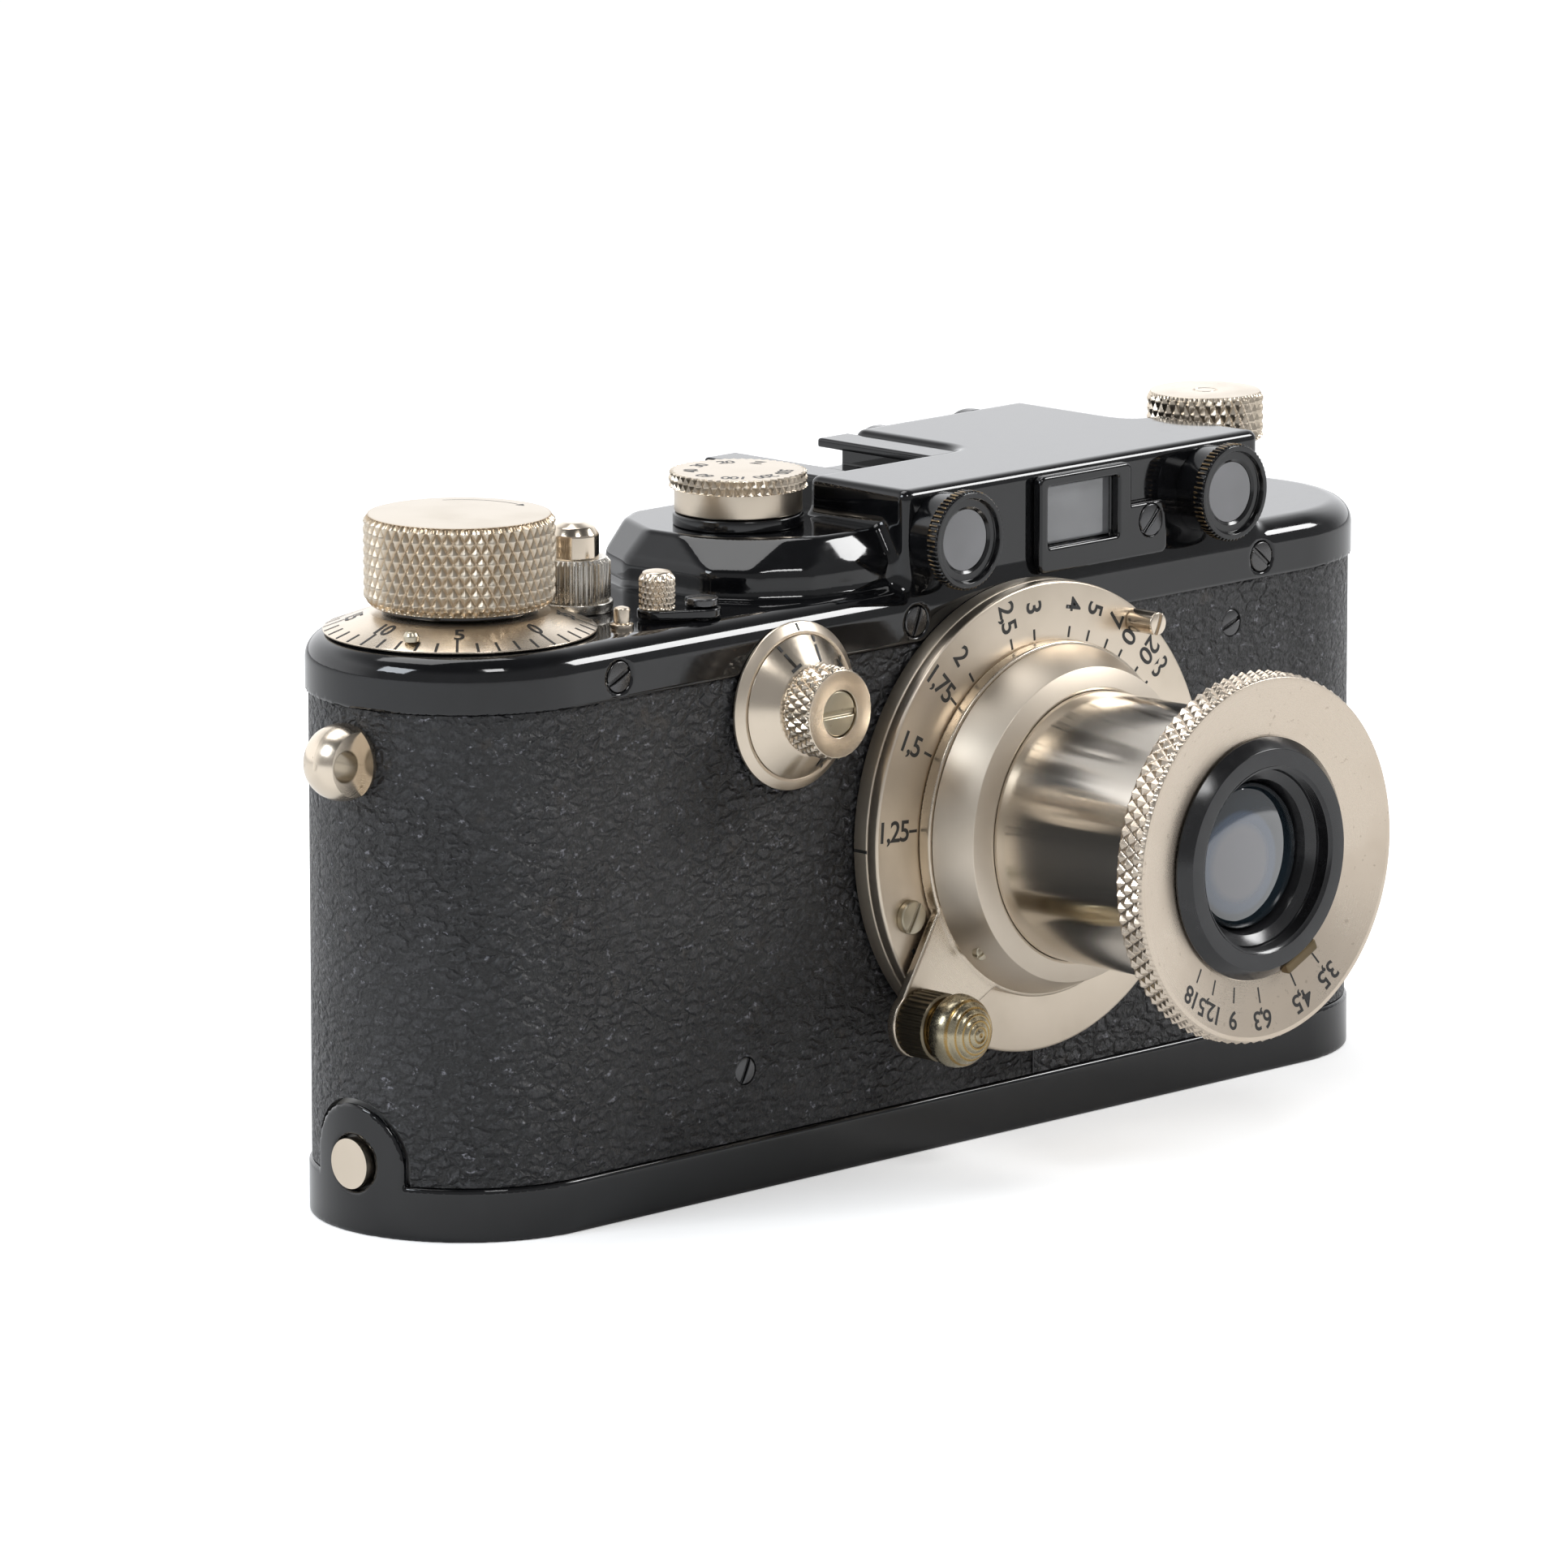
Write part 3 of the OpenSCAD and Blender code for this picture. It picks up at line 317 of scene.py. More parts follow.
# the lug's band around its bore is painted darker as shade
M["nickel_lug"] = metal("NickelLug", NICKEL, 0.22, 0.4, centre=LUG_BORE, axis="Y", rings=0.1, spots=0.3,
                        groove_shade=(1.55, 1.62, (0.34, 0.29, 0.22)), mirror=True)
M["nickel_fill"] = metal("NickelKnurl", NICKEL, 0.26, 0.45, spots=0.25)
M["nickel_matte"] = metal("NickelMatte", (0.69, 0.61, 0.51), 0.42, 0.2, grain=0.08)
M["polished"] = metal("NickelPolished", (0.80, 0.74, 0.66), 0.13, 0.12, centre=LENS_CENTRE, axis="Y",
    rings=0.03, grain=0.015, aniso=0.85)
M["brass"] = metal("BrassWorn", (0.50, 0.45, 0.35), 0.32, 0.5, (0.22, 0.18, 0.10), spots=0.3)
M["screw_brass"] = metal("KnurledBrass", (0.20, 0.17, 0.12), 0.3, 0.5, DARK_BROWN)
M["brass_dark"] = metal("BrassDark", (0.16, 0.12, 0.07), 0.35, 0.5, DARK_BROWN)
M["brass_clean"] = metal("BrassTurned", (0.62, 0.48, 0.24), 0.3, 0.3)
M["steel"] = metal("SteelTurned", (0.52, 0.51, 0.5), 0.28, 0.2)
M["inner"] = enamel("InnerBlack", base=(0.011, 0.011, 0.012), rough=0.17)
M["inner_grey"] = enamel("InnerGrey", base=(0.05, 0.05, 0.05), rough=0.6)
M["shell"] = metal("PlainAluminium", (0.34, 0.34, 0.34), 0.5, 0.3)
M["cloth"] = vulcanite("CurtainCloth")
# the lens glass carries a painted reflection, a lighter off-centre disc with a bluish ring
M["lens_glass"] = glass("LensGlass", (0.013, 0.02, 0.026), 0.02, 0.8, 1.72,
                        ((LX - 1.7, 0, LZ - 0.3), 5.0, (0.10, 0.098, 0.108), (0.035, 0.055, 0.09)))
# painted light: the grey base colours of the finder glasses stand in for the lit inside seen through them
M["window_round"] = glass("WindowRound", (0.13, 0.13, 0.14), 0.05, 0.5, 1.6)
M["window"] = glass("WindowGlass", (0.21, 0.215, 0.225), 0.04, 0.5, 1.55)


# ---------- mesh building ----------

MERGE_WITHIN = 2e-6
WEAR_CURVATURE = 3.0

# Every piece below is built in millimetres and scaled to metres in finish_mesh.
def finish_mesh(name, verts, faces, mat, body, nodes=(), sharp=38.0, wear=None, merge=True):
    me = bpy.data.meshes.new(name)
    me.from_pydata((np.asarray(verts, float) * MM).tolist(), [], [list(map(int, f)) for f in faces])
    if wear is not None:
        a = me.attributes.new("wear", "FLOAT", "POINT")
        a.data.foreach_set("value", np.asarray(wear, np.float32))
    bm = bmesh.new()
    bm.from_mesh(me)
    if merge:
        bmesh.ops.remove_doubles(bm, verts=bm.verts, dist=MERGE_WITHIN)
    bmesh.ops.recalc_face_normals(bm, faces=bm.faces)
    bm.to_mesh(me)
    bm.free()
    me.shade_smooth()
    if sharp:
        me.set_sharp_from_angle(angle=math.radians(sharp))
    o = bpy.data.objects.new(name, me)
    bpy.context.scene.collection.objects.link(o)
    o.data.materials.append(mat)
    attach(o, body)
    if nodes:
        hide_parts(*nodes)
    return o


def arc_profile(pts, seg=4):
    """Points (r, h, fillet); returns the profile with its corners rounded."""
    out = []
    n = len(pts)
    for i, p in enumerate(pts):
        rad = p[2] if len(p) > 2 else 0
        if not rad or i in (0, n - 1):
            out.append((p[0], p[1]))
            continue
        c = np.array(p[:2], float)
        a = np.array(pts[i - 1][:2], float) - c
        b = np.array(pts[i + 1][:2], float) - c
        la, lb = np.linalg.norm(a), np.linalg.norm(b)
        a, b = a / la, b / lb
        ang = math.acos(max(-1, min(1, float(a @ b))))
        if ang < 0.05 or ang > math.pi - 0.02:
            out.append(tuple(c))
            continue
        t = min(rad / math.tan(ang / 2), la * 0.49, lb * 0.49)
        rr = t * math.tan(ang / 2)
        mid = (a + b) / np.linalg.norm(a + b)
        o = c + mid * (rr / math.sin(ang / 2))
        s, e = c + a * t - o, c + b * t - o
        a0, a1 = math.atan2(s[1], s[0]), math.atan2(e[1], e[0])
        da = (a1 - a0 + math.pi) % TAU - math.pi
        for k in range(seg + 1):
            q = a0 + da * k / seg
            out.append((o[0] + rr * math.cos(q), o[1] + rr * math.sin(q)))
    return out


def dense(prof, h0, h1, n):
    """Adds n rows to each long stretch of the profile between heights h0 and h1."""
    lo, hi = min(h0, h1) - 0.05, max(h0, h1) + 0.05
    out = []
    for a, b in zip(prof, prof[1:]):
        out.append(a)
        if abs(a[1] - b[1]) > 0.5 and lo < min(a[1], b[1]) and max(a[1], b[1]) < hi:
            for k in range(1, n):
                t = k / n
                out.append((a[0] + (b[0] - a[0]) * t, a[1] + (b[1] - a[1]) * t))
    out.append(prof[-1])
    return out


def lathe(prof, segs, axis="Z", centre=(0, 0), cut=None):
    """Closed surface of revolution. cut(theta, r, h) gives the radius at each point."""
    prof = np.array(prof, float)
    th = np.arange(segs) * TAU / segs
    r = np.repeat(prof[:, 0:1], segs, 1)
    h = np.repeat(prof[:, 1:2], segs, 1)
    t = np.repeat(th[None, :], len(prof), 0)
    if cut is not None:
        r = cut(t, r, h)
    a = centre[0] + r * np.cos(t)
    b = centre[1] + r * np.sin(t)
    v = np.stack([a, b, h], -1) if axis == "Z" else np.stack([a, h, b], -1)
    n = len(prof)
    i, j = np.meshgrid(np.arange(n - 1), np.arange(segs), indexing="ij")
    k = (j + 1) % segs
    f = np.stack([i * segs + j, i * segs + k, (i + 1) * segs + k, (i + 1) * segs + j], -1)
    return v.reshape(-1, 3), f.reshape(-1, 4)


def diamonds(count, h0, h1, pitch, depth, rmin=0.0, flat=0.75):
    """Diamond knurl on the band between h0 and h1."""
    lo, hi = min(h0, h1), max(h0, h1)

    def cut(t, r, h):
        u = t * count / TAU
        w = (h - lo) / pitch
        tri = lambda x: 1 - np.abs(2 * (x - np.floor(x)) - 1)
        p = np.minimum(np.minimum(tri(u + w), tri(u - w)) / flat, 1)
        edge = np.clip((h - lo) / 0.12, 0, 1) * np.clip((hi - h) / 0.12, 0, 1)
        on = (h > lo - 1e-6) & (h < hi + 1e-6) & (r > rmin)
        return np.where(on, r - depth * (1 - p) * edge, r)
    return cut


def ribs(count, h0, h1, depth, rmin=0.0, duty=0.55):
    """Straight ribs along the axis on the band between h0 and h1."""
    lo, hi = min(h0, h1), max(h0, h1)

    def cut(t, r, h):
        u = t * count / TAU
        x = np.abs(2 * (u - np.floor(u)) - 1)
        p = np.clip((x - (1 - duty)) / 0.25, 0, 1)
        on = (h > lo - 1e-6) & (h < hi + 1e-6) & (r > rmin)
        return np.where(on, r - depth * (1 - p), r)
    return cut


def smin(a, b, k):
    h = np.clip(0.5 + 0.5 * (b - a) / k, 0, 1)
    return b * (1 - h) + a * h - k * h * (1 - h)


def smax(a, b, k):
    return -smin(-a, -b, k)


def box2(u, v, lo, hi, r):
    cu, cv = (lo[0] + hi[0]) / 2, (lo[1] + hi[1]) / 2
    qu = np.abs(u - cu) - (hi[0] - lo[0]) / 2 + r
    qv = np.abs(v - cv) - (hi[1] - lo[1]) / 2 + r
    return np.minimum(np.maximum(qu, qv), 0) + np.hypot(np.maximum(qu, 0), np.maximum(qv, 0)) - r


def box3(p, lo, hi, r):
    q = [np.abs(p[i] - (lo[i] + hi[i]) / 2) - (hi[i] - lo[i]) / 2 + r for i in range(3)]
    out = np.sqrt(sum(np.maximum(c, 0) ** 2 for c in q))
    return np.minimum(np.maximum(np.maximum(q[0], q[1]), q[2]), 0) + out - r


def slab(d2, w, lo, hi, r):
    """Prism of a 2D distance between lo and hi, its edges rounded by r."""
    a = d2 + r
    b = np.abs(w - (lo + hi) / 2) - (hi - lo) / 2 + r
    return np.minimum(np.maximum(a, b), 0) + np.hypot(np.maximum(a, 0), np.maximum(b, 0)) - r


def stadium2(x, y, ln, depth):
    r = depth / 2
    return np.hypot(np.maximum(np.abs(x) - (ln / 2 - r), 0), y) - r


def polygon2(u, v, pts):
    """Signed distance to a polygon."""
    pts = np.array(pts, float)
    d = np.full(u.shape, 1e9)
    inside = np.zeros(u.shape, bool)
    for a, b in zip(pts, np.roll(pts, -1, 0)):
        e = b - a
        wu, wv = u - a[0], v - a[1]
        t = np.clip((wu * e[0] + wv * e[1]) / (e @ e), 0, 1)
        d = np.minimum(d, (wu - e[0] * t) ** 2 + (wv - e[1] * t) ** 2)
        c = (a[1] <= v) != (b[1] <= v)
        with np.errstate(divide="ignore", invalid="ignore"):
            x = a[0] + (v - a[1]) * e[0] / e[1] if e[1] else np.full(u.shape, 1e9)
        inside ^= c & (u < x)
    d = np.sqrt(d)
    return np.where(inside, -d, d)


def sdf_mesh(fn, lo, hi, step):
    """Surface nets over a signed distance, then projected onto its zero surface."""
    ax = [np.arange(l - step, h + 2 * step, step) for l, h in zip(lo, hi)]
    g = np.meshgrid(*ax, indexing="ij")
    d = fn(g).astype(np.float32)
    neg = d < 0
    n = d.shape
    cnt = np.zeros([s - 1 for s in n], np.int8)
    for i in (0, 1):
        for j in (0, 1):
            for k in (0, 1):
                cnt += neg[i:n[0] - 1 + i, j:n[1] - 1 + j, k:n[2] - 1 + k]
    act = (cnt > 0) & (cnt < 8)
    cell = np.argwhere(act)
    index = np.full(act.shape, -1, np.int64)
    index[act] = np.arange(len(cell))
    acc = np.zeros((len(cell), 3))
    num = np.zeros(len(cell))
    corners = [(i, j, k) for i in (0, 1) for j in (0, 1) for k in (0, 1)]
    for a in corners:
        for axis in range(3):
            if a[axis]:
                continue
            b = list(a)
            b[axis] = 1
            pa, pb = cell + a, cell + b
            da, db = d[tuple(pa.T)], d[tuple(pb.T)]
            hit = (da < 0) != (db < 0)
            t = np.where(hit, da / np.where(hit, da - db, 1), 0)
            acc += np.where(hit[:, None], pa + (pb - pa) * t[:, None], 0)
            num += hit
    origin = np.array([a[0] for a in ax])
    v = origin + acc / num[:, None] * step
    quads = []
    for axis in range(3):
        s0 = [slice(None)] * 3
        s1 = [slice(None)] * 3
        s0[axis], s1[axis] = slice(0, n[axis] - 1), slice(1, n[axis])
        a, b = neg[tuple(s0)], neg[tuple(s1)]
        o1, o2 = [x for x in range(3) if x != axis]
        e = np.argwhere(a != b)
        e = e[(e[:, o1] > 0) & (e[:, o2] > 0) & (e[:, o1] < n[o1] - 1) & (e[:, o2] < n[o2] - 1)]
        flip = a[tuple(e.T)]
        c = []
        for p, q in ((-1, -1), (0, -1), (0, 0), (-1, 0)):
            f = e.copy()
            f[:, o1] += p
            f[:, o2] += q
            c.append(index[tuple(f.T)])
        c = np.stack(c, -1)
        if axis == 1:
            flip = ~flip
        quads.append(np.where(flip[:, None], c, c[:, ::-1]))
    faces = np.concatenate(quads)

    def ev(p):
        return fn([p[:, 0], p[:, 1], p[:, 2]])
    eps = step * 0.3
    for _ in range(2):
        val = ev(v)
        grad = np.stack([(ev(v + np.eye(3)[i] * eps) - ev(v - np.eye(3)[i] * eps)) / (2 * eps)
                for i in range(3)], -1)
        g2 = np.maximum((grad ** 2).sum(1), 0.2)
        move = -(val / g2)[:, None] * grad
        size = np.linalg.norm(move, axis=1, keepdims=True)
        v = v + move * np.minimum(1, 0.5 * step / np.maximum(size, 1e-9))
    de = max(step, 0.3)
    around = sum(ev(v + s * np.eye(3)[i] * de) for i in range(3) for s in (-1, 1))
    curve = (around - 6 * ev(v)) / (de * de)
    return v, faces, np.clip(curve / WEAR_CURVATURE, 0, 1)


def solid(name, fn, lo, hi, step, mat, body, nodes=(), sharp=0.0):
    """Piece from a signed distance fn between the corners lo and hi."""
    v, f, w = sdf_mesh(fn, lo, hi, step)
    return finish_mesh(name, v, f, mat, body, nodes, sharp, w, merge=False)


def turned(name, pts, segs, mat, body, nodes=(), axis="Z", centre=(0, 0), cut=None, seg=4, rows=(),
        sharp=38.0):
    """Piece turned about an axis from its (radius, height, fillet) profile."""
    prof = arc_profile(pts, seg)
    for h0, h1, n in rows:
        prof = dense(prof, h0, h1, n)
    v, f = lathe(prof, segs, axis, centre, cut)
    return finish_mesh(name, v, f, mat, body, nodes, sharp)


def cone_h(r0, h0, r1, h1):
    """Height on a cone as a function of radius."""
    return lambda r: h0 + (h1 - h0) * (r - r0) / (r1 - r0)


def on_face(r, t, h, axis, centre):
    x, y = centre[0] + r * math.cos(t), centre[1] + r * math.sin(t)
    return (x, y, h) if axis == "Z" else (x, h, y)


def marks(name, ticks, texts, face, axis, centre, out, mat, body, spacing=0.86):
    """Engraved marks as thin fills on a face of revolution. ticks: (degrees, r0, r1, width);
    texts: (string, degrees, r, size, turn), their tops outward plus turn."""
    verts, faces = [], []
    for deg, r0, r1, w in ticks:
        t = math.radians(deg)
        base = len(verts)
        for rr, s in ((r0, -1), (r1, -1), (r1, 1), (r0, 1)):
            tt = t + s * w / 2 / rr
            verts.append(on_face(rr, tt, face(rr) + out, axis, centre))
        faces.append((base, base + 1, base + 2, base + 3))
    for s, deg, r, size, turn in texts:
        c = bpy.data.curves.new("t", "FONT")
        c.body, c.size, c.align_x, c.align_y = s, size, "CENTER", "CENTER"
        c.space_character = spacing
        c.offset = 0.016 * size
        c.resolution_u = 4
        o = bpy.data.objects.new("t", c)
        bpy.context.scene.collection.objects.link(o)
        bpy.context.view_layer.update()
        me = bpy.data.meshes.new_from_object(o.evaluated_get(bpy.context.evaluated_depsgraph_get()))
        t = math.radians(deg)
        q = math.radians(turn)
        er, et = (math.cos(t), math.sin(t)), (-math.sin(t), math.cos(t))
        base = len(verts)
        for v in me.vertices:
            a = v.co.x * math.cos(q) - v.co.y * math.sin(q)
            b = v.co.x * math.sin(q) + v.co.y * math.cos(q)
            u = -a
            px = r * er[0] + b * er[0] + u * et[0]
            py = r * er[1] + b * er[1] + u * et[1]
            rr = math.hypot(px, py)
            verts.append(on_face(rr, math.atan2(py, px), face(rr) + out, axis, centre))
        faces += [tuple(base + i for i in p.vertices) for p in me.polygons]
        bpy.data.objects.remove(o)
        bpy.data.curves.remove(c)
        bpy.data.meshes.remove(me)
    return finish_mesh(name, verts, faces, mat, body, sharp=0, merge=False)


def slotted(name, centre, y0, y1, r, turn, mat, body, nodes=(), slot_w=0.42, depth=0.35, dome=0.12):
    """Screw head along Y, its face at y0, with a cut slot."""
    c, s = math.cos(math.radians(turn)), math.sin(math.radians(turn))
    cx, cz = centre
    sign = 1 if y1 > y0 else -1

    def fn(p):
        u, v = p[0] - cx, p[2] - cz
        rr = np.hypot(u, v)
        w = (p[1] - y0) * sign
        d = slab(rr - r, w, dome * (rr / r) ** 2, abs(y1 - y0), 0.12)
        a = u * s - v * c
        cut = np.maximum(np.abs(a) - slot_w / 2, w - depth)
        return smax(d, -cut, 0.04)
    lo, hi = min(y0, y1), max(y0, y1)
    return solid(name, fn, (cx - r, lo, cz - r), (cx + r, hi, cz + r), r / 16, mat, body, nodes)


# ---------- case ----------

SPEED_LOW = [(-25.2, 5), (-24.4, -5.5), (-21.8, -9.2), (-17.4, -12.2), (-12, -13), (0, -13), (0, 13.2),
    (-18, 13.2), (-22.5, 10.5)]
SPEED_HIGH = [(-23.4, 4), (-22.4, -1.5), (-20.3, -7.2), (-17.3, -10.6), (-12, -11.2), (0, -11.2), (0, 12),
    (-17, 12), (-20.6, 9.5)]


def frustum(p, low, high, z0, z1, k):
    """Housing that tapers from the polygon low at z0 to the polygon high at z1."""
    mid = np.array([*np.mean(low, 0), (z0 + z1) / 2 - 1])
    d = p[2] - z1
    for i in range(len(low)):
        j = (i + 1) % len(low)
        a = np.array([*low[i], z0])
        b = np.array([*low[j], z0])
        c = np.array([*high[i], z1])
        n = np.cross(b - a, c - a)
        n /= np.linalg.norm(n)
        if n @ (mid - a) > 0:
            n = -n
        d = smax(d, (p[0] - a[0]) * n[0] + (p[1] - a[1]) * n[1] + (p[2] - a[2]) * n[2], k)
        m = np.array([b[1] - a[1], a[0] - b[0]])
        m /= np.linalg.norm(m)
        if m @ (mid[:2] - a[:2]) > 0:
            m = -m
        d = smax(d, (p[0] - a[0]) * m[0] + (p[1] - a[1]) * m[1], k)
    return d


def cyl_y(p, x, z, r):
    return np.hypot(p[0] - x, p[2] - z) - r


def cyl_z(p, x, y, r):
    return np.hypot(p[0] - x, p[1] - y) - r


def top_fn(p):
    x, y, z = p
    a, b = stadium2(x, y, BODY_LENGTH, 30.4) + 2.4, z - PLATE_TOP + 2.4
    d = np.minimum(np.maximum(a, b), 0) + np.hypot(np.maximum(a, 0), np.maximum(b, 0)) - 2.4
    d = smin(d, frustum(p, SPEED_LOW, SPEED_HIGH, 58.7, 61.6, 0.35), 0.9)
    d = smin(d, box3(p, (-6.5, -2, 54.5), (17, 14.4, 61.2), 0.6), 0.6)
    head = smin(box2(x, y, (-6.5, -14.6), (44, -1.3), 1.0), box2(x, y, (15.9, -3), (40, 14.4), 1.0), 4.0)
    d = smin(d, slab(head, z, 54.5, 65.4, 0.9), 1.3)
    d = smax(d, -(d + 1.1), 0.1)
    holes = [cyl_z(p, *h) for h in ((*WIND_AXIS, 3.2), (*RELEASE_AXIS, 1.9), (*REWIND_AXIS, 2.2),
                                   (*SPEED_AXIS, 1.7), (*PIVOT_AXIS, 0.9))]
    front = y + 11.5
    holes += [np.maximum(cyl_y(p, wx, FINDER_Z, 3.9), front) for wx in WINDOW_XS]
    holes.append(np.maximum(box2(x, z, *PANE, 0.3), front))
    holes += [np.maximum(cyl_y(p, ex, FINDER_Z, r), 12 - y) for ex,
        r in ((EYE_XS[1], 3.9), (EYE_XS[0], 3.0))]
    holes.append(np.maximum(cyl_y(p, *LENS_AXIS, 21.0), y + 13))
    holes.append(np.maximum(cyl_y(p, *SLOW_AXIS, 2.4), y + 13))
    for sx in SCREW_XS:
        holes.append(np.maximum(cyl_y(p, sx, SCREW_Z, 1.56), 14.55 - np.abs(y)))
    for h in holes:
        d = smax(d, -h, 0.12)
    return np.maximum(d, 50.6 - z)


solid("TopPlate", top_fn, (-66.6, -15.3, 50.5), (66.6, 15.3, 65.5), 0.3, M["enamel"], "body",
    ["top_plate"])


def base_fn(p):
    x, y, z = p
    rim = slab(stadium2(x, y, BODY_LENGTH, 30.2), z, 0, 5.2, 0.35)
    d = smax(rim, -np.maximum(stadium2(x, y, BODY_LENGTH - 1.6, 28.6), 1.2 - z), 0.1)
    d = np.minimum(d, np.maximum(cyl_z(p, LOCK_X, 0, 9.8), np.maximum(z - 3, 0.3 - z)))
    rr = np.hypot(x - HOOK_X, y)
    ear2 = np.minimum(np.hypot(y, z - HOOK_Z) - 5.7, np.maximum(np.abs(y) - 5.7, z - HOOK_Z))
    ear = np.maximum(np.maximum(np.abs(rr - 14.8) - 0.3, ear2), np.maximum(1 - z, x + 60))
    d = np.minimum(d, ear)
    d = smax(d, -np.maximum(np.hypot(y, z - HOOK_Z) - 2.77, x + 60), 0.15)
    d = smax(d, -np.maximum(cyl_z(p, LOCK_X, 0, 8.5), z - 1.8), 0.1)
    d = smax(d, -cyl_z(p, LOCK_X, 0, 3.06), 0.05)
    return smax(d, -np.maximum(cyl_z(p, BUSH_X, 0, 6.5), z - 2), 0.05)


solid("BasePlate", base_fn, (-66.6, -15.2, 0), (66.6, 15.2, 12.6), 0.3, M["enamel"], "base",
    ["base_plate"])

i = 0
for sx in SCREW_XS:
    for sy in (-1, 1):
        turn = (25, 70, 140)[i // 2] + 40 * (sy > 0)
        slotted(f"PlateScrew_{i}", (sx, SCREW_Z), sy * 15.3, sy * 14.56, 1.5, turn, M["screw"], "body",
            ["case_screws"] if i == 0 else ())
        i += 1
for sx, sz, turn in ((-28.8, 12, 65), (39.7, 46.5, 20)):
    slotted(f"CoverScrew_{i}", (sx, sz), -14.98, -14.15, 1.35, turn, M["screw"], "body")
    i += 1
solid("CoverSeam", lambda p: box3(p, (11.1, -15.02, 5.3), (11.28, -14.8, 12), 0.02), (11, -15.1, 5.2),
    (11.4, -14.7, 12.1), 0.05, M["inner"], "body")
slotted("FrameScrew", FINDER_SCREW, -15.9, -15.2, 1.6, 45, M["screw"], "body")


def shoe_fn(p):
    x, _, z = p
    d = box3(p, (-4.4, -1.1, 61.2), (15.7, 15, 65), 0.3)
    d = smax(d, -box2(x, z, (-3.65, 61.9), (14.95, 64.1), 0.1), 0.15)
    d = smax(d, -box2(x, z, (-0.2, 63), (11.5, 67), 0.1), 0.2)
    return d


solid("AccessoryShoe", shoe_fn, (-4.5, -1.2, 61.1), (15.8, 15.1, 65.1), 0.17, M["enamel"], "body",
    ["accessory_shoe"])


def finder_fn(p):
    x, y, z = p
    o = np.minimum(box2(x, z, (11.2, 55.1), (24.3, 64.7), 0.8), box2(x, z, (20, 55.1), (29.4, 60.4), 0.8))
    d = slab(o, y, -15.7, -14.6, 0.3)
    d = smax(d, -box2(x, z, *PANE, 0.3), 0.35)
    return smax(d, -np.maximum(cyl_y(p, *FINDER_SCREW, 1.65), y + 15.2), 0.05)


solid("ViewfinderFrame", finder_fn, (11.1, -15.8, 55), (29.5, -14.5, 64.8), 0.13, M["enamel"], "body",
    ["viewfinder_frame"])

# ---------- knobs ----------

turned("WindKnob",
    [(0, 58.65), (8.4, 58.65, 0.2), (9.1, 59.3, 0.3), (9.1, 66.7, 0.15), (8.75, 67.25, 0.25),
        (8.1, WIND_TOP), (0, WIND_TOP)], 714,
    # the knob's knurl valleys and rounded edges fall in the band and are painted darker as shade
    metal("NickelWind", (0.6, 0.53, 0.435), 0.3, 0.3, centre=(*WIND_AXIS, 0),
        groove_shade=(8.75, 9.0, (0.46, 0.36, 0.25))), "winding", ["wind_knob"], centre=WIND_AXIS,
    cut=diamonds(51, 58.75, 67.25, 2.0, 0.36, 8.5, 0.85), rows=((58.7, 67.2, 68),))
ARROW_R = 7.1
shaft = [(58 - 2 * k, ARROW_R - 0.05, ARROW_R + 0.05, 0.27) for k in range(32)]
tip = [(-7.5 - 1.3 * k, ARROW_R - 0.42 + 0.09 * k, ARROW_R + 0.42 - 0.09 * k, 0.18) for k in range(5)]
marks("WindArrow", shaft + tip, [], lambda r: WIND_TOP, "Z", WIND_AXIS, 0.01, M["paint_fill"], "winding")
turned("WindWasher", [(0, 58.12), (7.4, 58.12, 0.15), (7.4, 58.67, 0.15), (0, 58.67)], 96,
    M["enamel_plain"], "winding", centre=WIND_AXIS)
turned("CounterDial",
    [(3.1, 56.1), (12.9, 56.1, 0.05), (13.04, 56.3, 0.08), (8.6, 57.95, 0.15), (3.1, 57.95), (3.1, 56.1)],
    160, metal("NickelCounter", NICKEL, 0.27, 0.3, centre=(*WIND_AXIS, 0), rings=0.12, aniso=0.4),
    "counter", ["counter_dial"], centre=WIND_AXIS)
face = cone_h(13.04, 56.3, 8.6, 57.95)
marks("CounterMarks", [(-90 - k * 9, 11.5 if k % 5 else 10.9, 12.95, 0.26) for k in range(40)],
    [(str(k * 5), -89 - k * 45, 10.1, 2.4, 180) for k in range(8)], face, "Z", WIND_AXIS, 0.035,
    M["paint_fill"], "counter")
turned("BallStud", [(0, 56.9), (0.72, 57.0), (0.75, 57.5, 0.3), (0.5, 57.95, 0.3), (0, 58.0)], 40,
    M["brass"], "counter", centre=(-62.7, -4.6))

turned("ReleaseCollar",
    [(2.46, 57.2), (2.46, 56.02), (3.7, 56.02, 0.1), (3.75, 57, 0.1), (3.2, 57.1), (3.5, 57.3), (3.5, 60.8),
        (3.1, 61.2, 0.1), (2.75, 61.2, 0.1), (2.46, 60.9), (2.46, 57.2)], 520,
    metal("NickelCollar", (0.6, 0.57, 0.52), 0.26, 0.3), "body", ["release_collar"],
    centre=RELEASE_AXIS, cut=ribs(40, 57.25, 61.0, 0.3, 3.0, 0.5))
turned("ReleaseButton",
    [(0, 47), (1.2, 47), (1.2, 59.3), (2.4, 59.3), (2.4, 63.4, 0.5), (1.9, 64.15, 0.5), (1.0, 64.52, 0.5),
        (0, 64.58)], 80, metal("NickelButton", NICKEL, 0.14, 0.3), "release", ["release_button"],
    centre=RELEASE_AXIS)

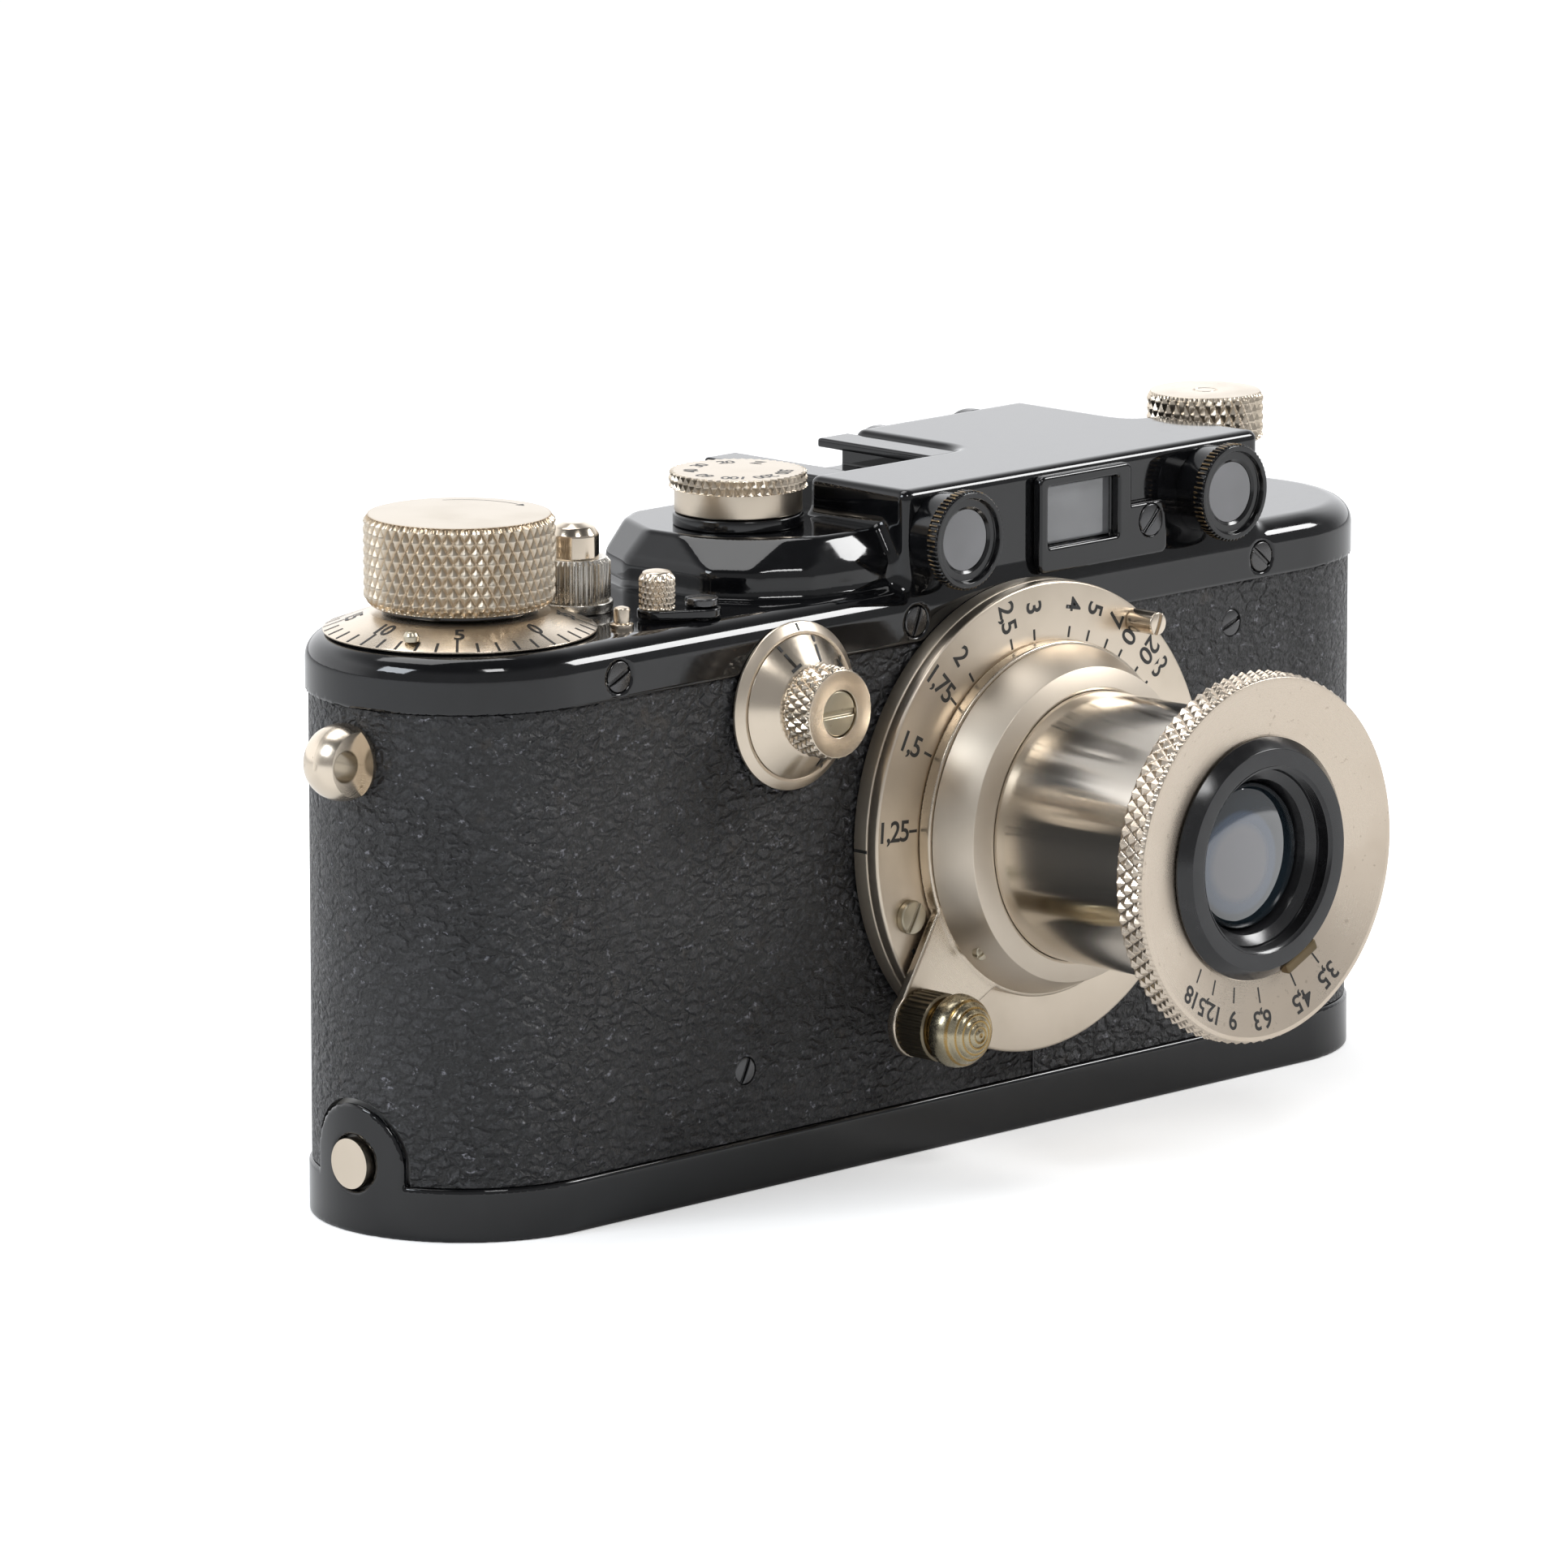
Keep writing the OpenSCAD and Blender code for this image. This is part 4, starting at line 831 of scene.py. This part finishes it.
turned("SpeedDial",
    [(1.56, 66.1), (1.56, 62.9), (6.2, 62.9, 0.15), (6.2, 65.2), (6.77, 65.3, 0.1), (6.77, 66.7, 0.08),
        (6.6, 66.8, 0.05), (0, SPEED_TOP)], 576,
    metal("NickelDial", SHADED_NICKEL, 0.3, 0.2, centre=(*SPEED_AXIS, 0), rings=0.1), "dial",
    ["speed_dial"], centre=SPEED_AXIS, cut=diamonds(48, 65.25, 67.2, 1.6, 0.42, 6.25, 1.0),
    rows=((65.2, 66.7, 16),))
SPEEDS = ("Z", "20", "30", "40", "60", "100", "200", "500")
marks("SpeedMarks", [], [(s, k * 40 + 20, 4.5, 1.95, 0) for k, s in enumerate(SPEEDS)],
      lambda r: SPEED_TOP, "Z", SPEED_AXIS, 0.012, M["paint_fill"], "dial")
turned("SpeedSeat", [(3.5, 61.62), (6.35, 61.62, 0.15), (6.35, 62.8, 0.2), (3.5, 62.8), (3.5, 61.62)], 96,
    M["enamel_plain"], "body", ["speed_dial_seat"], centre=SPEED_AXIS)

turned("RewindKnob",
    [(2.06, 66), (2.06, 56.2), (3.0, 56.2, 0.1), (3.0, 61.6, 0.15), (5.3, 61.8, 0.1), (5.85, 62.2, 0.2),
        (5.85, 66.4, 0.1), (5.5, 66.8, 0.1), (1.3, 66.8), (1.15, 66.6), (1.0, 66.8), (0, 66.8)], 476,
    M["nickel_fill"], "rewind_grip", ["rewind_knob"], centre=REWIND_AXIS,
    cut=diamonds(34, 62.2, 66.7, 1.9, 0.36, 5.5, 0.85), rows=((62.0, 66.6, 40),))
turned("LeverStud",
    [(0, 57.05), (1.7, 57.05), (1.75, 57.2, 0.1), (1.75, 60.0, 0.3), (1.3, 60.7, 0.4), (0, 60.95)], 240,
    M["nickel"], "rewind_switch", ["rewind_lever_stud"], centre=STUD_AXIS,
    cut=diamonds(20, 57.2, 60.2, 1.1, 0.2, 1.6), rows=((57.1, 60.1, 24),))


def switch_fn(p):
    x, y, z = p
    a, b = np.array(PIVOT_AXIS), np.array(STUD_AXIS)
    e = b - a
    t = np.clip(((x - a[0]) * e[0] + (y - a[1]) * e[1]) / (e @ e), 0, 1)
    d2 = np.hypot(x - a[0] - e[0] * t, y - a[1] - e[1] * t) - 1.9
    return smax(slab(d2, z, 56.2, 57.1, 0.15), -cyl_z(p, *PIVOT_AXIS, 0.96), 0.02)


solid("RewindLever", switch_fn, (-37, -13.6, 56.1), (-29.3, -7.3, 57.2), 0.12, M["enamel"], "rewind_switch",
    ["rewind_lever"])


def pivot_fn(p):
    x, y, z = p
    u, v = x - PIVOT_AXIS[0], y - PIVOT_AXIS[1]
    r = np.hypot(u, v)
    d = np.minimum(np.maximum(r - 0.9, np.abs(z - 56.2) - 1.2),
        slab(r - 1.6, z, 57.2, 58 + 0.12 * (1 - (r / 1.6) ** 2), 0.12))
    a = u * 0.45 + v * 0.89
    return smax(d, -np.maximum(np.abs(a) - 0.22, 57.65 - z), 0.04)


solid("LeverScrew", pivot_fn, (-32.9, -13.2, 55), (-29.7, -10, 58.2), 0.11, M["screw"], "body",
    ["rewind_lever_screw"])
turned("LeverStopPost", [(0, 56), (1.15, 56), (1.15, 56.4, 0.1), (0.8, 56.5), (0.8, 57.9, 0.2), (0, 58.1)],
    40, M["nickel"], "body", centre=(-40.2, -9.8))

# ---------- slow speeds ----------

turned("SlowRing",
    [(0, -15.25), (8.2, -15.25, 0.05), (8.15, -15.5, 0.1), (7.3, -16.05, 0.08), (7.0, -16.05, 0.05),
        (7.0, -15.7), (0, -15.7)], 160,
    metal("NickelSlowRing", NICKEL, 0.3, 0.4, centre=SLOW_CENTRE, axis="Y", rings=0.1), "body",
    ["slow_speed_ring"], axis="Y", centre=SLOW_AXIS)
turned("SlowDial",
    [(0, -15.75), (6.95, -15.75), (6.95, -16.1, 0.1), (4.55, -17.85, 0.1), (4.3, -17.95), (4.3, -18.1),
        (4.5, -18.3, 0.05), (4.5, -21.2, 0.1), (4.2, -21.5, 0.15), (2.3, -21.5, 0.05), (2.25, -20.7),
        (0, -20.7)], 420,
    metal("NickelSlowDial", NICKEL, 0.22, 0.35, centre=SLOW_CENTRE, axis="Y", rings=0.1, aniso=0.4),
    "slow_dial", ["slow_speed_dial"], axis="Y", centre=SLOW_AXIS,
    cut=diamonds(30, -21.35, -18.2, 1.7, 0.32, 4.2, 0.85), rows=((-18.2, -21.3, 34),))
SLOW = (("T", 116), ("1", 76), ("2", 38), ("4", 4), ("8", -30), ("20", -66))
marks("SlowMarks", [(d, 6.4, 6.95, 0.3) for _, d in SLOW], [(t, d, 5.45, 2.2, 180) for t, d in SLOW],
    cone_h(6.95, -16.12, 4.55, -17.85), "Y", SLOW_AXIS, -0.06, M["paint_fill"], "slow_dial")
marks("SlowIndex", [(90, 7.35, 8.05, 0.34)], [], cone_h(8.15, -15.5, 7.3, -16.05), "Y", SLOW_AXIS, -0.015,
    M["paint_fill"], "body")
slotted("SlowScrew", SLOW_AXIS, -21.45, -20.65, 2.2, 0, M["brass"], "slow_dial",
    ["slow_speed_screw"], slot_w=0.55)

# ---------- finder windows and eyepieces ----------

for k, wx in enumerate(WINDOW_XS):
    turned(f"WindowRim_{k}",
        [(3.02, -13.4), (3.85, -13.4), (3.85, -14.55), (4.3, -14.6), (4.35, -17.0, 0.2), (4.85, -17.4, 0.1),
            (4.85, -18.4, 0.1), (4.6, -18.6, 0.1), (4.15, -18.6, 0.1), (4.0, -18.1, 0.1), (3.3, -18.1, 0.1),
            (3.02, -17.9), (3.02, -13.4)], 600,
        enamel(f"EnamelRim_{k}", rough=0.12, crest=((wx, 0, FINDER_Z), 5.03)), "body",
        ["rangefinder_rims"] if k == 0 else (), axis="Y", centre=(wx, FINDER_Z),
        cut=ribs(60, -17.35, -18.5, 0.22, 4.5, 0.6))
    turned(f"WindowGlass_{k}", [(0, -17.25), (2.98, -17.25), (2.98, -17.85), (0, -17.95)], 64,
        M["window_round"], "body", ["finder_windows"] if k == 0 else (), axis="Y",
        centre=(wx, FINDER_Z))


def pane_fn(p):
    return box3(p, (12.45, -14.5, 57.65), (22.35, -13.6, 63.55), 0.15)


solid("FinderPane", pane_fn, (12.4, -14.6, 57.6), (22.4, -13.5, 63.6), 0.2, M["window"], "body")
for k, (wx, r, y1, cadnode) in enumerate(((EYE_XS[0], 4.6, 16.0, "viewfinder_eyepiece"),
                                          (EYE_XS[1], 3.6, 17.0, "rangefinder_eyepiece"))):
    turned(f"Eyepiece_{k}",
        [(2.4, 13.3), (2.9, 13.3), (2.9, 14.4), (r, 14.4), (r, y1, 0.25), (r - 0.6, y1, 0.2), (2.4, 15.2),
            (2.4, 13.3)], 96, M["enamel_worn"], "body", [cadnode], axis="Y",
        centre=(wx, FINDER_Z))
    turned(f"EyeGlass_{k}", [(0, 13.9), (2.38, 13.9), (2.38, 14.7), (0, 14.85)], 48, M["window"], "body",
        axis="Y", centre=(wx, FINDER_Z))


def diopter_fn(p):
    x, y, z = p
    u, v = x - EYE_XS[1], z - FINDER_Z
    c, s = math.cos(math.radians(60)), math.sin(math.radians(60))
    d2 = np.hypot(u, v) - 4.7
    t = np.clip(-u * s + v * c, 0, 7.0)
    arm = np.hypot(u + t * s, v - t * c) - 0.95
    ring = slab(d2, y, 14.5, 16.1, 0.2)
    d = np.minimum(ring, slab(arm, y, 14.5, 15.5, 0.2))
    return smax(d, -(np.hypot(u, v) - 3.66), 0.05)


solid("DiopterRing", diopter_fn, (25.5, 14.4, 55.7), (38.6, 16.2, 66), 0.17, M["enamel_worn"], "diopter",
    ["diopter_ring"])

# ---------- lens ----------

turned("MountRing",
    [(19.55, -12.6), (19.55, -17), (23.25, -17, 0.2), (23.25, -15.25, 0.08), (20.9, -15.25), (20.9, -12.6),
        (19.55, -12.6)], 240,
    metal("NickelMount", (0.6, 0.53, 0.44), 0.42, 0.35, centre=LENS_CENTRE, axis="Y", rings=0.08), "body",
    ["lens_mount_ring"], axis="Y", centre=LENS_AXIS)
turned("ScaleDisc",
    [(17.06, -11), (19.5, -11), (19.5, -17), (23.2, -17.02, 0.1), (23.2, DISC_FRONT, 0.3),
        (17.06, DISC_FRONT), (17.06, -11)], 240,
    metal("NickelDisc", NICKEL, 0.33, 0.3, centre=LENS_CENTRE, axis="Y", rings=0.14), "body",
    ["focus_flange"], axis="Y", centre=LENS_AXIS)
DIST = (("∞", 37.5), ("20", 44), ("10", 53.4), ("7", 60.8), ("5", 69.7), ("4", 78.5), ("3", 94),
    ("2,5", 104.2), ("2", 123.6), ("1,75", 133.7), ("1,5", 152.3), ("1,25", 176.1), ("1", 212.9))
marks("DistanceMarks", [(d, 17.7, 18.8, 0.28) for _, d in DIST]
    + [(-22, 19.5, 22.6, 0.2), (-27, 19.5, 22.6, 0.2)], [(s, d, 20.95, 2.9, -90) for s, d in DIST],
    lambda r: DISC_FRONT, "Y", LENS_AXIS, -0.012, M["paint_fill"], "body", 0.9)
turned("Barrel",
    [(14.3, -10.6), (17, -10.6), (17, -18.35), (15.45, -18.35), (15.45, -19.82), (17.2, -19.85, 0.06),
        (15.5, -23.75, 0.12), (13.6, -24.5, 0.12), (13.36, -24.4), (13.36, -22.7), (14.3, -22.7),
        (14.3, -10.6)], 240, M["nickel_matte"], "focusing", ["focusing_barrel"], axis="Y",
    centre=LENS_AXIS)


def lever_fn(p):
    u, v, y = p[0] - LX, p[2] - LZ, p[1]
    r = np.hypot(u, v)
    reach = math.hypot(*KNOB_OFFSET)
    c, s = KNOB_OFFSET[0] / reach, KNOB_OFFSET[1] / reach
    a, b = u * c + v * s, -u * s + v * c
    tongue = polygon2(a, b, [(10, -7.2), (15.6, -6.1), (reach, -3.3), (reach, 3.3), (15.6, 6.1), (10, 7.2)])
    tongue = np.minimum(tongue, np.hypot(a - reach, b) - 3.4)
    d = slab(r - 17.5, y, -19.8, -18.36, 0.18)
    d = smin(d, slab(tongue, y, -19.8, -18.8, 0.15), 0.3)
    return smax(d, -(r - 15.5), 0.08)


solid("FocusLever", lever_fn, (-13.6, -19.9, 10.9), (26.8, -18.3, 49.7), 0.19,
    metal("NickelLever", SHADED_NICKEL, 0.28, 0.35, centre=LENS_CENTRE, axis="Y", rings=0.08), "focusing",
    ["focusing_lever"])
KNOB_AXIS = (LX + KNOB_OFFSET[0], LZ + KNOB_OFFSET[1])
turned("FocusKnob",
    [(2.66, -20.6), (2.66, -23.35), (3.1, -23.4, 0.1), (3.35, -23.2, 0.1), (3.35, -20.0, 0.1), (3.1, -19.8),
        (2.66, -19.8), (2.66, -20.6)], 408, M["screw_brass"], "focusing", ["focus_knob"],
    axis="Y", centre=KNOB_AXIS, cut=ribs(34, -20.0, -23.2, 0.18, 3.2))
RIDGE = 0.6
dome = [(0, -22), (2.6, -22), (2.6, -24.42), (3.5, -24.45, 0.1), (3.6, -24.7)]
for k in range(6, 0, -1):
    for q in (1.0, 0.8, 0.55, 0.3, 0.1):
        rr = RIDGE * (k - 1 + q)
        dome.append((rr, -24.6 - 3.4 * math.sqrt(1 - (rr / 3.65) ** 2) - 0.14 * math.sin(math.pi * q)))
dome.append((0, -28.0))
turned("InfinityButton", dome, 120, ridged("BrassButton", (KNOB_AXIS[0], 0, KNOB_AXIS[1]), RIDGE),
    "infinity", ["infinity_button"], axis="Y", centre=KNOB_AXIS)
slotted("StopPost", (21.8, 49.64), -21.7, -18.3, 1.15, 70, M["nickel"], "body",
    ["focus_stops"])
slotted("StopScrew", (-9.9, 24.7), -19.2, -18.3, 1.65, 60, M["brass"], "body")
slotted("BarrelScrew", (-3.0, 20.6), -21.75, -20.9, 0.8, 30, M["brass"], "focusing",
    slot_w=0.22, depth=0.2)
solid("MountIndex", lambda p: box3(p, (LX - 23.27, -17.0, 31.3), (LX - 23.2, -15.3, 31.65), 0.02),
    (LX - 23.3, -17.1, 31.2), (LX - 23.1, -15.2, 31.8), 0.05, M["paint_fill"], "body")
turned("LensTube",
    [(12.1, -12.9), (14.24, -12.9), (14.24, -13.9), (13.3, -13.9), (13.3, -44.9), (12.1, -44.9),
        (12.1, -12.9)], 240, M["polished"], "tube", ["lens_tube"], axis="Y",
    centre=LENS_AXIS)
turned("FrontRing",
    [(13.31, -44.4), (17.4, -44.4, 0.2), (18, -44.85, 0.1), (18, -47.35, 0.1), (17.6, -47.85, 0.1),
        (17.2, -47.85, 0.05), (11.9, -46.72, 0.05), (10.7, -46.7), (10.7, -44.0), (9, -44.0), (9, -37),
        (12.09, -37), (12.09, -45), (13.31, -45), (13.31, -44.4)], 900,
    metal("NickelFront", (0.62, 0.535, 0.44), 0.28, 0.3, (0.5, 0.4, 0.3), centre=LENS_CENTRE, axis="Y",
        rings=0.1, aniso=0.3, spots=0.3), "tube", ["front_ring"], axis="Y", centre=LENS_AXIS,
    cut=diamonds(90, -44.5, -47.7, 1.87, 0.36, 17.5, 0.9), rows=((-44.8, -47.4, 34),))
F_STOPS = (("3,5", -54.2), ("4,5", -69.5), ("6,3", -90.6), ("9", -106.1), ("12,5", -119.4), ("18", -130.5))
marks("ApertureMarks", [(d, 12.6, 14.1, 0.2) for _, d in F_STOPS],
    [(s, d, 15.6, 2.5, 0) for s, d in F_STOPS], cone_h(17.2, -47.85, 11.9, -46.72), "Y", LENS_AXIS, -0.012,
    M["paint_fill"], "tube")
thread = []
for k in range(7):
    thread += [(9.0, -47.9 + 0.2 * k), (8.75, -47.8 + 0.2 * k)]
turned("ApertureRing",
    [(10.64, -44.1), (10.64, -46.78), (11.8, -46.8, 0.05), (11.8, -47.0, 0.05), (10.75, -48.05, 0.12),
        (9.15, -48.05, 0.12)] + thread
    + [(8.7, -46.45), (8.55, -46.5, 0.1), (7.55, -45.9, 0.12), (7.4, -45.2), (7.2, -44.6), (7.2, -44.1),
        (10.64, -44.1)], 240, M["inner"], "aperture", ["aperture_ring"], axis="Y",
    centre=LENS_AXIS)


def index_fn(p):
    c, t = math.cos(math.radians(-64)), math.sin(math.radians(-64))
    u, v = p[0] - LX, p[2] - LZ
    return box3([u * c + v * t, -u * t + v * c, p[1]], (10.75, -2.3, -48.0), (11.95, 2.3, -46.85), 0.25)


solid("ApertureIndex", index_fn, (LX + 2.4, -48.1, LZ - 12.2), (LX + 7.7, -46.8, LZ - 8.3), 0.1,
    M["brass_dark"], "aperture")
turned("FrontGlass", [(0, -43), (8.9, -42.4), (8.9, -43.2), (7.15, -44.2)]
    + [(7.1 * math.cos(math.radians(a)), -44.9 - 1.15 * math.sin(math.radians(a)))
        for a in range(0, 91, 9)], 160, M["lens_glass"], "tube", ["lens_elements"], axis="Y",
    centre=LENS_AXIS, sharp=60)
turned("RearGlass",
    [(0, -31.6), (4, -31.9), (6.5, -32.3), (8.9, -32.6), (8.9, -36.2), (6, -36.2), (0, -36.6)], 120,
    M["lens_glass"], "tube", axis="Y", centre=LENS_AXIS, sharp=60)

# ---------- pieces kept as they are in the frame ----------

KEEP = {"body_shell": "shell", "body_covering": "vulc", "strap_lugs": "nickel_lug", "base_stud": "nickel",
    "mount_screws": "nickel", "shutter_crate": "inner_grey", "pressure_plate": "inner",
    "shutter_curtains": "cloth", "curtain_drum": "brass_clean", "curtain_roller_a": "brass_clean",
    "curtain_roller_b": "brass_clean", "wind_shaft": "steel", "take_up_spool": "inner",
    "sprocket_shaft": "steel", "release_spring": "steel", "speed_dial_shaft": "steel",
    "rewind_shaft": "steel", "rangefinder_prism": "window", "rangefinder_arm": "brass_clean",
    "tripod_bush": "brass_clean", "base_lock": "enamel_plain", "base_latch": "steel", "base_wing": "steel",
    "coupling_ring": "brass_clean", "brake_ring": "inner", "iris": "inner"}
for name, key in KEEP.items():
    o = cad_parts[name]
    o.data.materials.clear()
    o.data.materials.append(M[key])

# ---------- camera, light and floor ----------

# FLOOR_LIFT whitens the floor for the camera only; the room is dim ahead, bright behind, dim above.
FLOOR_SIZE, FLOOR_LIFT = 6, 0.42
ROOM_FRONT, ROOM_BACK, CEILING = 0.38, 1.5, 0.3
CAMERA_AT = (-0.79375, -0.77452, 0.25566)
CAMERA_TOWARDS = (0.69815, 0.68855, -0.19618)
CAMERA_ROLL, FOCAL_LENGTH = -0.04, 265.08
LIT_SIDE = (0.3, 0.95, 0.0)

scene = bpy.context.scene
cam = bpy.data.cameras.new("Camera")
cam.sensor_width = 36
cam.lens = FOCAL_LENGTH
cam.clip_start, cam.clip_end = 0.05, 20
co = bpy.data.objects.new("Camera", cam)
scene.collection.objects.link(co)
fwd = Vector(CAMERA_TOWARDS).normalized()
right = fwd.cross(Vector((0, 0, 1))).normalized()
up = right.cross(fwd)
roll = math.radians(CAMERA_ROLL)
right, up = right * math.cos(roll) + up * math.sin(roll), up * math.cos(roll) - right * math.sin(roll)
m = Matrix((right, up, -fwd)).transposed().to_4x4()
m.translation = Vector(CAMERA_AT)
co.matrix_world = m
scene.camera = co

bpy.ops.mesh.primitive_plane_add(size=FLOOR_SIZE, location=(0, 0, 0))
floor = bpy.context.object
floor.name = "Floor"
fm, nt, b = new_mat("FloorWhite")
b.inputs["Base Color"].default_value = (0.9, 0.9, 0.9, 1)
b.inputs["Roughness"].default_value = 0.7
b.inputs["Specular IOR Level"].default_value = 0.1
seen = nt.nodes.new("ShaderNodeLightPath").outputs["Is Camera Ray"]
b.inputs["Emission Color"].default_value = (1, 1, 1, 1)
nt.links.new(math_node(nt, "MULTIPLY", seen, FLOOR_LIFT), b.inputs["Emission Strength"])
floor.data.materials.append(fm)

w = bpy.data.worlds.new("World")
scene.world = w
w.use_nodes = True
nt = w.node_tree
back = nt.nodes["Background"]
back.inputs["Color"].default_value = (0.97, 0.98, 1.0, 1)
sky = nt.nodes.new("ShaderNodeTexCoord").outputs["Generated"]
lit = vector_math(nt, "DOT_PRODUCT", sky, LIT_SIDE)
room = remap(nt, lit, -0.05, 0.6, ROOM_FRONT, ROOM_BACK)
rise = vector_math(nt, "DOT_PRODUCT", sky, (0, 0, 1))
room = math_node(nt, "MULTIPLY", room, remap(nt, rise, 0.45, 0.8, 1, CEILING))
cam_ray = nt.nodes.new("ShaderNodeLightPath").outputs["Is Camera Ray"]
nt.links.new(math_node(nt, "MAXIMUM", room, cam_ray), back.inputs["Strength"])


def area(name, loc, target, size, power, color=(1, 1, 1)):
    d = bpy.data.lights.new(name, "AREA")
    d.shape = "RECTANGLE"
    d.size, d.size_y = size
    d.energy = power
    d.color = color
    o = bpy.data.objects.new(name, d)
    scene.collection.objects.link(o)
    o.location = loc
    o.rotation_euler = (Vector(target) - Vector(loc)).to_track_quat("-Z", "Y").to_euler()


area("KeyTop", (0.0, 0.25, 0.8), (0, 0, 0.04), (0.6, 0.4), 2.3)
area("PanelLeft", (-0.78, 0.16, 0.60), (0, 0, 0.04), (0.34, 0.34), 3.8, (0.88, 0.94, 1.0))
area("PanelRight", (0.70, -0.50, 0.58), (0, 0, 0.05), (0.32, 0.26), 4.2)
area("PanelFront", (-0.25, -0.62, 0.80), (0, 0, 0.05), (0.2, 0.2), 1.6)
scene.view_settings.view_transform = "Standard"
